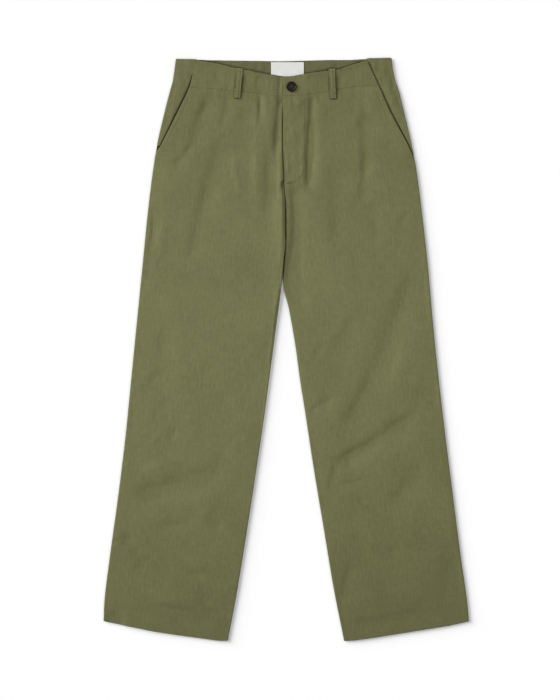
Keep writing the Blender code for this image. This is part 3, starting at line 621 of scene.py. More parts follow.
ROLL_COLUMNS = 6           # across a rolled edge
RIM_TURNS = np.radians((90, 60, 30, 0))
RIM_WIDTH = 6              # rows or columns of a shell that belong to its rim


def rolled(edge, y):
    """Level of an edge at its heights, and the turn, radius and reach of its rolled strip."""
    if edge is None:
        return None, (None, None, 0 * y)
    level, turn, roll = edge(y)
    turn = np.maximum(turn, LEAST_TURN)
    radius = roll_radius(turn, roll)
    return level + 0 * y, (turn + 0 * y, radius, radius * np.sin(turn) + LIP * np.cos(turn))


def rolled_columns(turn, radius, reach):
    """(way from the tip, drop) of the columns across a rolled edge, from its tip inwards."""
    columns = [(0 * reach, roll_drop(turn, radius))]
    for i in range(ROLL_COLUMNS - 1):
        turned = turn * (1 - i / (ROLL_COLUMNS - 1))
        columns.append((reach - radius * np.sin(turned), radius * (1 - np.cos(turned))))
    return columns


class Sheet:
    """A piece of cloth between four edges.

    north and south are points from west to east. The two sides give x at a height, and the two
    edges give (level, turn, roll) at a height, or are None where the cloth is simply cut. height
    gives the outer face from x, y, the two edges' levels and the way to each. All these pairs run
    eastwards, or westwards if way is -1, so that a leg's outer side can come first. Rolled edges
    turn down if towards is -1, and up if it is 1.
    """

    def __init__(self, north, south, sides, height, edges=(None, None), way=1, towards=-1):
        self.north, self.south, self.height = north, south, height
        self.way, self.towards = way, towards
        self.sides, self.edges = sides[::way], edges[::way]

    def row_at(self, side, y):
        """The row that meets the first (0) or the second (1) side at this height."""
        end = (0, -1)[::self.way][side]
        low, high = self.south[end][1], self.north[end][1]
        return (y - low) / (high - low)

    def bow(self, u, v):
        """How far the curved waist and hem edges pull a row off the straight."""
        shift = 0.0
        for points, share in ((self.north, v**6), (self.south, (1 - v) ** 6)):
            (west_x, west_y), (east_x, east_y) = points[0], points[-1]
            across = west_x + (east_x - west_x) * u
            shift = shift + share * (line_y(points, across) - west_y - (east_y - west_y) * u)
        return shift

    def points(self, longest, columns, marks=()):
        """(points, way to the one side, way to the other), row by row from south to north."""
        v = stations(longest, *marks)[:, None]
        ends = []
        for end in (0, -1):
            y = self.south[end][1] + (self.north[end][1] - self.south[end][1]) * v
            ends.append((self.sides[end](y), y, *rolled(self.edges[end], y)))
        (west_x, west_y, west_level, west_roll), (east_x, east_y, east_level, east_roll) = ends
        west_reach, east_reach = west_roll[-1], east_roll[-1]
        length = np.hypot(east_x - west_x, east_y - west_y)
        is_rolled = [edge is not None for edge in self.edges]
        across = rolled_columns(*west_roll) if is_rolled[0] else []
        for share in columns[is_rolled[0]:len(columns) - is_rolled[1]]:
            away = west_reach + (length - west_reach - east_reach) * share
            across.append((away, 0 * away))
        if is_rolled[1]:
            across += [(length - away, drop) for away, drop in reversed(rolled_columns(*east_roll))]
        away, drop = [np.hstack(part) for part in zip(*across)]
        u = away / length
        x = west_x + (east_x - west_x) * u
        y = west_y + (east_y - west_y) * u + self.bow(u, v)
        ways = [np.clip(away - west_reach, 0, None), np.clip(length - east_reach - away, 0, None)]
        ways = ways[::self.way]
        z = self.height(x, y, *(west_level, east_level)[::self.way], *ways) + self.towards * drop
        return np.stack([x, y, z + 0 * x], axis=-1), *ways


def round_rims(points, normals, wall, drop, runs):
    """Rounds off the first and last rows of a grid over half its wall and at most over its run."""
    grids = [points[1:-1], normals[1:-1], wall[1:-1], drop[1:-1]]
    for edge, inner, limit in ((0, 1, runs[0]), (-1, -2, runs[1])):
        out = unit(points[edge] - points[inner])
        radius = (wall[edge] / 2 - drop[edge])[:, None]
        run = np.minimum(radius, limit)
        base = points[edge] - out * run
        rings = []
        for turn in RIM_TURNS:
            place = base + out * run * math.sin(turn) - normals[edge] * radius * (1 - math.cos(turn))
            fallen = drop[edge] + radius[:, 0] * (1 - math.cos(turn))
            rings.append((place, normals[edge], wall[edge], fallen))
        if limit == SEWN:
            rings.append((base - out * SEAM_RING, normals[edge], wall[edge], drop[edge]))
        if edge == -1:
            rings.reverse()
        rings = [np.stack(part) for part in zip(*rings)]
        order = 1 if edge == 0 else -1
        grids = [np.concatenate((ring, grid)[::order]) for ring, grid in zip(rings, grids)]
    return grids


def grain_of(points, tilt):
    """Places on the flat cloth: the plan place along the grain, and what folds and rolls add to it."""
    x, y = points[..., 0], points[..., 1]
    grain = [x * math.cos(tilt) + y * math.sin(tilt), y * math.cos(tilt) - x * math.sin(tilt)]
    for axis, part in ((1, 0), (0, 1)):
        step = np.diff(points, axis=axis)
        spare = np.linalg.norm(step, axis=-1) - np.linalg.norm(step[..., :2], axis=-1)
        spare = np.cumsum(np.insert(spare, 0, 0.0, axis=axis), axis=axis)
        middle = np.take(spare, [spare.shape[axis] // 2], axis=axis)
        grain[part] = grain[part] + spare - middle
    return np.stack(grain, axis=-1)


def placed(name, data, at=(0.0, 0.0, 0.0)):
    made = bpy.data.objects.new(name, data)
    made.location = at
    bpy.context.scene.collection.objects.link(made)
    return made


def mesh_object(name, mesh, material, shade_smooth=True):
    if shade_smooth:
        mesh.shade_smooth()
    mesh.materials.append(material)
    return placed(name, mesh)


def cloth_shell(name, points, wall, material, tilt=0.0, towards=-1, runs=(1, 1, 1, 1)):
    """A closed shell from its outer face: the wall lies below it (-1) or above it (+1).

    runs limits how far the south, north, west and east edges are rounded off. The shell carries
    the map "grain", and "rim", which is 1 along the very edge of the cloth and sets the painted
    shade there.
    """
    normals = unit(np.cross(np.gradient(points, axis=1), np.gradient(points, axis=0))) * -towards
    wall = wall + 0 * points[..., 0]
    grids = round_rims(points, normals, wall, 0 * wall, runs[:2])
    grids = [np.swapaxes(grid, 0, 1) for grid in grids]
    outer, normals, wall, drop = [np.swapaxes(grid, 0, 1) for grid in round_rims(*grids, runs[2:])]
    inner = outer - normals * (wall - 2 * drop)[..., None]
    rows, columns = drop.shape
    outer_index = np.arange(rows * columns).reshape(rows, columns)
    inner_index = outer_index.copy()
    inner_index[1:-1, 1:-1] = rows * columns + np.arange((rows - 2) * (columns - 2)).reshape(
        rows - 2, columns - 2)

    def quads(index, flip):
        corners = [index[:-1, :-1], index[:-1, 1:], index[1:, 1:], index[1:, :-1]]
        return np.stack(corners[::-1] if flip else corners, axis=-1).reshape(-1, 4)

    def both(grid, inner_grid, size):
        return np.vstack([grid.reshape(-1, size), inner_grid[1:-1, 1:-1].reshape(-1, size)])

    faces = np.vstack([quads(outer_index, towards > 0), quads(inner_index, towards < 0)])
    grain = grain_of(outer, tilt)
    rim = 2 * drop / wall
    rims = (rim[:RIM_WIDTH], rim[-RIM_WIDTH:], rim[:, :RIM_WIDTH], rim[:, -RIM_WIDTH:])
    # Sewn edges get none of the painted edge shade.
    for edge, run in zip(rims, runs):
        if run == SEWN:
            edge[...] = 0

    mesh = bpy.data.meshes.new(name)
    mesh.from_pydata(both(outer, inner, 3).tolist(), [], faces.tolist())
    layer = mesh.uv_layers.new(name="grain")
    at_corners = both(grain, grain, 2)[faces.ravel()]
    layer.uv.foreach_set("vector", at_corners.astype(np.float32).ravel())
    values = both(rim, rim, 1).astype(np.float32).ravel()
    mesh.attributes.new("rim", "FLOAT", "POINT").data.foreach_set("value", values)
    border = np.ones((rows, columns), bool)
    border[RIM_WIDTH:-RIM_WIDTH, RIM_WIDTH:-RIM_WIDTH] = False
    shape = bmesh.new()
    shape.from_mesh(mesh)
    shape.verts.ensure_lookup_table()
    doubled = [shape.verts[i] for i in outer_index[border]]
    bmesh.ops.remove_doubles(shape, verts=doubled, dist=2e-6)
    shape.to_mesh(mesh)
    shape.free()
    return mesh_object(name, mesh, material)


def cut_size(points):
    """(width, length) and area of the cloth that a grid of points was cut from."""
    across, along = [np.linalg.norm(np.diff(points, axis=axis), axis=-1).sum(axis=axis).max()
                     for axis in (1, 0)]
    sides = np.cross(points[1:, 1:] - points[:-1, :-1], points[1:, :-1] - points[:-1, 1:])
    area = np.linalg.norm(sides, axis=-1).sum() / 2
    return (float(across), float(along)), float(area)


class Wardrobe:
    """The pieces of cloth made so far, with each one's flat size, its area and the stitches sewn on it.
    """

    def __init__(self, materials):
        self.materials = materials      # by slot
        self.made = {}

    def add(self, node, points, wall, slot="cloth", **how):
        piece = cloth_shell(node + "_cloth", points, wall, self.materials[slot], **how)
        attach(piece, "root")
        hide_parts(node)
        flat, area = cut_size(points)
        self.made[node] = {"piece": piece, "flat": flat, "area": area, "with": []}


# ---------------------------------------------------------------- pieces of cloth

def wall_of(doubled):
    """Wall of cloth that is doubled (1) or single (0)."""
    return CLOTH + (FOLDED - CLOTH) * doubled


def front_panel(leg, wardrobe):
    hem = HEMS[leg]

    def inner(y):
        if leg == RIGHT:
            drawn_back = 0.4 * below(y, 0.306, 0.020) * rise(y, 0.122, 0.014)
            drawn_back = drawn_back + 0.6 * bell(y - 0.228, 0.040)
            return inner_x(leg, y) + under_fly(y) - CROTCH_GAPE[leg] * drawn_back
        drawn_back = below(y, 0.302, 0.030) * rise(y, 0.122, 0.014)
        return inner_x(leg, y) + CROTCH_GAPE[leg] * drawn_back

    north = BAND_SEAMS[leg]
    if leg == RIGHT:
        north = line_part(north, north[0][0], float(inner(BAND_SEAM_END_Y)))
    sheet = Sheet(lowered(north, SEWN_GAP), hem, (partial(front_outer_x, leg), inner),
                  partial(front_height, leg),
                  (partial(front_outer_edge, leg), partial(front_inner_edge, leg)), INWARD[leg])
    marks = [sheet.row_at(0, POCKET_END[leg] - POCKET_CLOSE * share) for share in (0, 0.5, 1)]
    marks += [sheet.row_at(1, y) for y in FRONT_MARKS]
    length = sheet.north[0][1] - sheet.south[0][1]
    columns = graded(*FRONT_COLUMNS[leg])
    points, outer_away, inner_away = sheet.points(FRONT_ROWS / length, columns, marks)
    x, y = points[..., 0], points[..., 1]
    at_pocket = fall(outer_away, 0.012, 0.006) * rise(y, POCKET_END[leg], 0.010)
    doubled = np.maximum(fall(y - line_y(hem, x), HEM_DEPTH, HEM_FADE), at_pocket)
    if leg == LEFT:
        at_fly = fall(inner_away, 0.030, 0.010) * rise(y, FLY_END_Y, 0.008)
        doubled = np.maximum(doubled, at_fly)
    wardrobe.add("front_" + SIDE_NAMES[leg], points, wall_of(doubled),
                 tilt=LEG_TILT[leg], runs=(1, SEWN, 1, 1))


def back_edge(turn_at):
    def edge(y):
        return 0.0, turn_at(y), BACK_ROLL
    return edge


def whole_turn(y):
    return math.pi / 2 + 0 * y


def inseam_turn(y):
    return np.radians(smooth_curve(BACK_INNER_TURN, 1, y))


def back_panel(leg, wardrobe):
    sides = (partial(side_x, leg), partial(inner_x, leg))
    seam_y = BACK_BAND_SEAM[OUTER_END[leg]][1]
    north = line_part(BACK_BAND_SEAM, *sorted(float(side(seam_y)) for side in sides))
    sheet = Sheet(lowered(north, SEAM_GAP), HEMS[leg], sides, lambda x, *_: 0 * x,
                  (back_edge(whole_turn), back_edge(inseam_turn)), INWARD[leg], towards=1)
    marks = [sheet.row_at(1, y) for y in BACK_MARKS]
    length = sheet.north[0][1] - sheet.south[0][1]
    points, _, _ = sheet.points(BACK_ROWS / length, graded(*BACK_COLUMNS), marks)
    in_hem = fall(points[..., 1] - line_y(HEMS[leg], points[..., 0]), HEM_DEPTH, HEM_FADE)
    wardrobe.add("back_" + SIDE_NAMES[leg], points, wall_of(in_hem),
                 tilt=LEG_TILT[leg], towards=1)


def back_waistband(wardrobe):
    """Its inner face, which shows above the front, is the upper one."""
    def height(x, y, *_):
        front = np.maximum(line_y(FRONT_WAISTS[RIGHT], x) * (x < 0),
                           line_y(FRONT_WAISTS[LEFT], x) * (x >= 0))
        shows = rise(y - front, 0.002, 0.004) * rise(np.abs(x + 0.0015), 0.036, 0.010)
        uneven = 0.0004 + ground(x, y, SEEDS["back_band"], BACK_BAND_GROUND)
        return np.clip(uneven, 0, 0.0010) * shows

    sides = (partial(side_x, RIGHT), partial(side_x, LEFT))
    edges = (back_edge(whole_turn), back_edge(whole_turn))
    sheet = Sheet(BACK_WAIST, BACK_BAND_SEAM, sides, height, edges, towards=1)
    points, _, _ = sheet.points(0.04, graded((0.41, 0.0024)))
    wardrobe.add("waistband_back", points, FOLDED, "cloth_inside", towards=1)


def side_piece(leg, wardrobe):
    """The pocket facing: it rolls over the side, and its inner part lies under the front."""
    inward = INWARD[leg]

    def inner(y):
        return pocket_x(leg, y) + inward * POCKET_TUCK

    def outer_edge(y):
        return EDGE_TIP + facing_roll(leg, y), whole_turn(y), facing_roll(leg, y)

    def height(x, y, *_):
        outwards = inward * (pocket_x(leg, y) - x)
        to_side = np.abs(x - side_x(leg, y))
        top = facing_top(leg, x, y)
        top = top + 0.0016 * rise(outwards, 0.0008, 0.0055) * rise(to_side, 0.004, 0.016)
        relief = ground(x, y, SEEDS["facing"] + leg, FACING_GROUND)
        top = top + relief * rise(outwards, 0.002, 0.006) * rise(to_side, 0, 0.008)
        if leg == RIGHT:
            shut = FACING_TOP + 0.0026 * rise(outwards, -0.0003, 0.0010)
            shut = shut + relief * rise(outwards, 0.002, 0.006)
            top = top - 0.0014 * bell(outwards - 0.0006, 0.0012)
            return top + (shut - top) * rise(y, 0.512, 0.014) * rise(to_side, 0, 0.016)
        top = top + 0.8 * crease_profile(FACING_FOLD, x, y) * rise(to_side, 0, 0.006)
        mouth = 0.0014 * bell(outwards - 0.0010, 0.0018)
        return np.maximum(top - mouth, np.minimum(top, FACING_TOP - 0.0002))

    low, high = POCKET_END[leg] + 0.002, BACK_WAIST[OUTER_END[leg]][1]
    north = sorted([(float(side_x(leg, high)), high), (float(pocket_x(leg, high)), high - 0.0008),
                    (float(inner(high)), high - 0.0080)])
    south = sorted([(float(side_x(leg, low)), low), (float(inner(low)), low)])
    sheet = Sheet(north, south, (partial(side_x, leg), inner), height, (outer_edge, None), inward)
    points, _, _ = sheet.points(0.0016 / 0.17, graded((0.045, 0.0007)))
    wardrobe.add("side_" + SIDE_NAMES[leg], points, CLOTH, tilt=LEG_TILT[leg])


def front_waistband(leg, wardrobe):
    north, south = FRONT_WAISTS[leg], BAND_SEAMS[leg]

    def end_x(end):
        (south_x, south_y), (north_x, north_y) = south[end], north[end]
        return lambda y: south_x + (north_x - south_x) * (y - south_y) / (north_y - south_y)

    def height(x, y, *_):
        to_seam = y - line_y(south, x)
        to_top = line_y(north, x) - y
        top = band_top(leg, x) + band_relief(leg, x, y)
        top = top + 0.4 * puckers(x, to_seam, SEEDS["band_seam"] + leg)
        for away in (to_seam, to_top):
            top = top - 0.00015 * bell(away - BAND_STITCH, 0.0010)
        return top + 0.0011 * bell(to_top, 0.0070) * rise(np.abs(x - 0.0115), 0.020, 0.010)

    points, _, _ = Sheet(north, south, (end_x(0), end_x(-1)), height).points(
        0.0016 / 0.037, graded((0.19, 0.0018)))
    wardrobe.add("waistband_front_" + SIDE_NAMES[leg], points, FOLDED,
                 runs=(SEWN, 1, SEWN if leg == RIGHT else 1, 1))


def fly_shield(wardrobe):
    """Underlap behind the fly, sewn to the right front's edge and the right waistband."""
    north_y = BAND_SEAMS[RIGHT][-1][1] - SEAM_GAP
    low = FLY_END_Y + 0.012

    def west(y):
        return inner_x(RIGHT, y) + FLY_OVERLAP + SEAM_GAP

    def east(y):
        return SHIELD_EAST - 0.010 * fall(y, low, 0.020)

    north = ((float(west(north_y)), north_y), (SHIELD_EAST, north_y))
    south = ((float(west(low)), low), (float(east(low)), low))
    sheet = Sheet(north, south, (west, east), lambda x, y, *_: front_inner_edge(RIGHT, y)[0])
    points, _, _ = sheet.points(0.03, stations(0.09))
    wardrobe.add("fly_shield", points, CLOTH)


def belt_loop(name, top, bottom, wardrobe):
    """A strip that is sewn flat at both ends and arches over the waistband between them."""
    leg = RIGHT if top[0] < 0 else LEFT
    top, bottom = np.array(top), np.array(bottom)
    share = stations(0.025)[:, None]
    centre = bottom + (top - bottom) * share
    along = (top - bottom) / np.linalg.norm(top - bottom)
    across = np.array([along[1], -along[0]])
    side = np.linspace(-LOOP_WIDTH / 2, LOOP_WIDTH / 2, 15)
    waist = 1 - 0.04 * np.sin(math.pi * share)      # slightly narrower between its ends
    x, y = [centre[:, [i]] + across[i] * side * waist for i in range(2)]
    arch = LOOP_ARCH * rise(share, 0.10, 0.22) * below(share, 0.90, 0.22)
    under = float(band_top(leg, np.array([centre[:, 0].mean()]))[0])
    over_edge = 0.0014 * rise(share, 0.94, 0.06)
    ridges = 0.00030 * (bell(side, 0.0018) - bell(np.abs(side) - 0.0033, 0.0010))
    sewn = bell(share - 0.05, 0.03) + bell(share - 0.93, 0.03)
    z = (under + SEAM_GAP + SPARE + arch + FOLDED - over_edge + ridges
         - 0.0003 * sewn + 0.00012 * np.sin(70 * share + 400 * side))
    wardrobe.add(name, np.stack([x, y, z], axis=-1), FOLDED)


def label(wardrobe):
    low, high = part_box("label")
    x, y = np.meshgrid(np.linspace(low.x, high.x, 60), np.linspace(low.y, high.y, 32))
    z = low.z + LABEL_WALL + 0.00012 * (np.sin(x / 0.0042) * np.sin(y / 0.0061 + 1) + 1)
    wardrobe.add("label", np.stack([x, y, z], axis=-1), LABEL_WALL, "label")


# ---------------------------------------------------------------- stitching

class Bed:
    """What stitches are laid on: the cloth as it is now."""

    def __init__(self, pieces):
        verts, faces = [], []
        for piece in pieces:
            start = len(verts)
            verts += [vert.co for vert in piece.data.vertices]
            faces += [[start + i for i in face.vertices] for face in piece.data.polygons]
        self.tree = BVHTree.FromPolygons(verts, faces)

    def under(self, plan):
        """The points on the cloth below plan points of (x, y)."""
        down = Vector((0, 0, -1))
        hits = [self.tree.ray_cast(Vector((x, y, 0.05)), down)[0] for x, y in plan]
        return np.array([hit if hit else (x, y, 0.0) for hit, (x, y) in zip(hits, plan)])


def stitch_ends(path, pitch=STITCH_PITCH, length=STITCH_LENGTH):
    """Plan points where the stitches along a path begin and end."""
    path = np.asarray(path, float)
    run = np.concatenate([[0], np.cumsum(np.linalg.norm(np.diff(path, axis=0), axis=1))])
    starts = np.arange((pitch - length) / 2, run[-1] - length, pitch)

    def at(way):
        return np.stack([np.interp(way, run, path[:, i]) for i in range(2)], axis=-1)

    return at(starts), at(starts + length)


def bar_ends(start, end, width, pitch=0.0007):
    """A bar of close stitches that lie across the line from start to end."""
    start, end = np.array(start), np.array(end)
    along = unit(end - start)
    across = np.array([-along[1], along[0]]) * width / 2
    count = max(2, round(float(np.linalg.norm(end - start)) / pitch))
    middle = start + (end - start) * np.linspace(0, 1, count)[:, None]
    lean = along * pitch * 0.35
    return middle - across - lean, middle + across + lean


def stitches(name, bed, ends, material, radius=THREAD_RADIUS):
    """One mesh of small rounded stitches that dip into the cloth at both ends."""
    starts, stops = [bed.under(np.vstack(points)) for points in zip(*ends)]
    along = stops - starts
    side = unit(np.cross(unit(along), (0.0, 0.0, 1.0)))
    up = np.cross(side, unit(along))
    share = np.array([0.0, 0.12, 0.35, 0.65, 0.88, 1.0])
    girth = np.array([0.35, 0.85, 1.0, 1.0, 0.85, 0.35])
    lift = np.array([-0.9, 0.0, 0.55, 0.55, 0.0, -0.9]) * radius
    around = np.linspace(0, 2 * math.pi, 7)[:-1]
    centre = starts[:, None] + along[:, None] * share[:, None] + up[:, None] * lift[:, None]
    ring = np.cos(around)[:, None] * side[:, None] + np.sin(around)[:, None] * up[:, None]
    verts = centre[:, :, None] + ring[:, None] * (girth * radius)[:, None, None]
    index = np.arange(math.prod(verts.shape[:3])).reshape(verts.shape[:3])
    turned = np.roll(index, -1, axis=2)
    walls = np.stack([index[:, :-1], index[:, 1:], turned[:, 1:], turned[:, :-1]], axis=-1)
    faces = walls.reshape(-1, 4).tolist() + index[:, 0].tolist() + index[:, -1, ::-1].tolist()
    mesh = bpy.data.meshes.new(name)
    mesh.from_pydata(verts.reshape(-1, 3).tolist(), [], faces)
    piece = mesh_object(name, mesh, material)
    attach(piece, "root")
    return piece


def offset_line(path, distance):
    """A line of plan points moved sideways, to the right of its direction."""
    run = unit(np.gradient(path, axis=0))
    return path + np.stack([run[:, 1], -run[:, 0]], axis=-1) * distance


def along_x(points, west, east, above=0.0):
    x = np.linspace(west, east, 80)
    return np.stack([x, line_y(points, x) + above], axis=-1)


def sew_front(leg, add, pick_thread):
    """The seams of a front panel: its pocket, its hem and the fly."""
    inward, side = INWARD[leg], SIDE_NAMES[leg]
    y = np.linspace(BAND_SEAMS[leg][OUTER_END[leg]][1] - 0.002, POCKET_END[leg] + 0.004, 60)
    pocket = offset_line(np.stack([pocket_x(leg, y), y], axis=-1), -POCKET_STITCH * inward)
    foot = pocket[-1]
    seams = [stitch_ends(pocket), bar_ends(foot, foot + np.array([-0.0065 * inward, 0.001]), 0.0022)]
    west, east = HEMS[leg][0][0] + SEAM_END, HEMS[leg][-1][0] - SEAM_END
    if leg == RIGHT:
        west = west + 0.008
    else:
        east = east - 0.008
    tonal = [stitch_ends(along_x(HEMS[leg], west, east, HEM_DEPTH - 0.001), *PICKS)]
    if leg == LEFT:
        tonal.append(stitch_ends(j_stitch()))
        y = np.linspace(0.4770, FLY_END_Y + 0.004, 60)
        seams.append(stitch_ends(np.stack([inner_x(LEFT, y) + 0.0042, y], axis=-1)))
        tack = np.array([0.0005, FLY_END_Y - 0.0005])
        tonal.append(bar_ends(tack, tack + np.array([0.0080, 0.0018]), 0.0024))
    add("front_" + side, "stitches_front_" + side, seams)
    add("front_" + side, "picks_front_" + side, tonal, pick_thread)


def sew_waistband(leg, add):
    """Seams along both edges of a front waistband, at its end, and bars at the pocket mouth."""
    inward, node = INWARD[leg], "waistband_front_" + SIDE_NAMES[leg]
    band, waist = BAND_SEAMS[leg], FRONT_WAISTS[leg]
    seams = []
    for line, above in ((band, BAND_STITCH), (waist, -BAND_STITCH)):
        east = -0.0090 if leg == RIGHT else line[-1][0] - SEAM_END
        seams.append(stitch_ends(along_x(line, line[0][0] + SEAM_END, east, above)))
    if leg == LEFT:
        for x in (band[0][0] + 0.0036, J_STITCH_X):
            ends = [(x, float(line_y(band, x)) + 0.003), (x, float(line_y(waist, x)) - 0.003)]
            seams.append(stitch_ends(ends))
    for height in (0.5130, 0.4985):
        x = float(pocket_x(leg, height)) + inward * 0.0025
        seams.append(bar_ends((x, height), (x + inward * 0.0095, height + 0.0004), 0.0018))
    add(node, "stitches_" + node, seams)


def sew_belt_loop(name, top, bottom, add):
    """Two lines of stitches along a belt loop, and three bars across it."""
    top, bottom = np.array(top), np.array(bottom)
    along = unit(top - bottom)
    across = np.array([along[1], -along[0]])
    seams = []
    for side in (-1, 1):
        shift = across * side * 0.0033
        ends = [bottom + along * 0.003 + shift, top - along * 0.003 + shift]
        seams.append(stitch_ends(ends, pitch=0.0031, length=0.0024))
    half = across * (LOOP_WIDTH / 2 - 0.0018)
    for end, way in ((bottom, 0.0016), (bottom, 0.0098), (top, -0.0052)):
        middle = end + along * way
        seams.append(bar_ends(middle - half, middle + half, 0.0016))
    add(name, "stitches_" + name, seams)


def sew(wardrobe, thread, pick_thread, label_thread):
    bed = Bed([facts["piece"] for facts in wardrobe.made.values()])

    def add(node, name, seams, material=thread, slot="cloth", radius=THREAD_RADIUS):
        wardrobe.made[node]["with"].append(stitches(name, bed, seams, material, radius))

    for leg in (RIGHT, LEFT):
        sew_front(leg, add, pick_thread)
        sew_waistband(leg, add)
    for name, top, bottom in BELT_LOOPS:
        sew_belt_loop(name, top, bottom, add)
    low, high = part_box("label")
    seams = [stitch_ends([(x, low.y + 0.006), (x, high.y - 0.001)], pitch=0.0026, length=0.0019)
             for x in (low.x + 0.0012, high.x - 0.0012)]
    add("label", "stitches_label", seams, label_thread, "label", radius=0.00017)


# ---------------------------------------------------------------- the button and its hole

BUTTON_FACE = 0.72         # share of the button's height at the middle of its dish
HOLE_WAY = 0.0019          # from the middle of the button to the middle of a hole
HOLE_RADIUS = 0.00085
HOLE_ANGLES = [math.pi / 4 + i * math.pi / 2 for i in range(4)]


def turned_button(material, thread):
    """A turned button with a raised rim and four holes, and the thread that holds it."""
    low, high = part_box("button")
    centre = (low + high) / 2
    rim = (high.x - low.x) / 2
    height = high.z - low.z
    dish = rim * 0.66
    profile = [(0.0, height * BUTTON_FACE)]
    profile += [(dish * t, height * (BUTTON_FACE - 0.10 * t * t)) for t in (0.35, 0.7, 0.9)]
    profile += [(base + off, height * share) for base, off, share in (
        (dish, 0, 0.60), (dish, 0.0006, 0.66), (dish, 0.0012, 0.86), (dish, 0.0018, 0.97),
        (rim, -0.0012, 1), (rim, -0.0006, 0.93), (rim, -0.0002, 0.80), (rim, 0, 0.62),
        (rim, -0.0003, 0.42), (rim, -0.0012, 0.18), (rim, -0.0026, 0.03), (0.0, 0, 0.0))]
    mesh = bpy.data.meshes.new("button_profile")
    edges = [(i, i + 1) for i in range(len(profile) - 1)]
    mesh.from_pydata([(radius, 0.0, up) for radius, up in profile], edges, [])
    made = mesh_object("button_turned", mesh, material, shade_smooth=False)
    turn = made.modifiers.new("turn", "SCREW")
    turn.steps = turn.render_steps = 96
    turn.use_merge_vertices = True
    turn.merge_threshold = 1e-6
    helpers = [made]
    for angle in HOLE_ANGLES:
        shape = bmesh.new()
        bmesh.ops.create_cone(shape, cap_ends=True, segments=28, radius1=HOLE_RADIUS,
                              radius2=HOLE_RADIUS, depth=3 * height)
        cutter_mesh = bpy.data.meshes.new("hole")
        shape.to_mesh(cutter_mesh)
        shape.free()
        at = (HOLE_WAY * math.cos(angle), HOLE_WAY * math.sin(angle), height / 2)
        helpers.append(placed("hole", cutter_mesh, at))
        hole = made.modifiers.new("hole", "BOOLEAN")
        hole.operation = "DIFFERENCE"
        hole.object = helpers[-1]
    bevel = made.modifiers.new("edges", "BEVEL")
    bevel.width = 0.00012
    bevel.segments = 2
    bevel.limit_method = "ANGLE"
    bevel.angle_limit = math.radians(50)
    bpy.context.view_layer.update()
    graph = bpy.context.evaluated_depsgraph_get()
    whole = bpy.data.meshes.new_from_object(made.evaluated_get(graph))
    for helper in helpers:
        bpy.data.objects.remove(helper)
    whole.shade_smooth()
    whole.set_sharp_from_angle(angle=math.radians(40))
    piece = placed("button_horn", whole, (centre.x, centre.y, low.z))
    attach(piece, "root")
    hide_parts("button")

    curve = bpy.data.curves.new("button_thread", "CURVE")
    curve.dimensions = "3D"
    curve.bevel_depth = 0.00017
    curve.bevel_resolution = 3
    curve.use_fill_caps = True
    top = low.z + height * BUTTON_FACE
    for layer, angle in enumerate(HOLE_ANGLES[:2]):
        along = np.array([math.cos(angle), math.sin(angle)])
        across = np.array([-along[1], along[0]])
        for shift in (-0.00030, 0.0, 0.00030):
            way = np.linspace(-1, 1, 13)
            line = curve.splines.new("POLY")
            line.points.add(len(way) - 1)
            for point, w in zip(line.points, way):
                x, y = along * w * (HOLE_WAY + 0.0001) + across * shift
                dip = 0.0016 * rise(abs(w), 0.72, 0.28)
                z = top + 0.00032 + layer * 0.00030 - float(dip)
                point.co = (centre.x + x, centre.y + y, z, 1.0)
    curve.materials.append(thread)
    held = placed("button_thread", curve)
    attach(held, "root")


def buttonhole(wardrobe, thread, slit_shade):
    """Close stitches on both sides of a slit that runs east from the button, and a near-black thread
    along the slit as its painted shade.
    """
    low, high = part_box("button")
    centre = (low + high) / 2
    start, end = centre.x + 0.001, centre.x + 0.0148
    y = centre.y
    facts = wardrobe.made["waistband_front_left"]
    bed = Bed([facts["piece"]])
    ends = [bar_ends((start, y + way), (end, y + way), 0.0019, pitch=0.00062)
            for way in (-0.00125, 0.00125)]
    bar_x = end + 0.0006
    ends.append(bar_ends((bar_x, y - 0.0020), (bar_x, y + 0.0020), 0.0016, pitch=0.0006))
    # The slit's painted shade: a near-black thread along its middle.
    slit = [([(start, y)], [(end, y)])]
    facts["with"] += [
        stitches("buttonhole_stitches", bed, ends, thread, radius=0.00026),
        stitches("buttonhole_slit_shade", bed, slit, slit_shade, radius=0.00034)]


# ---------------------------------------------------------------- materials

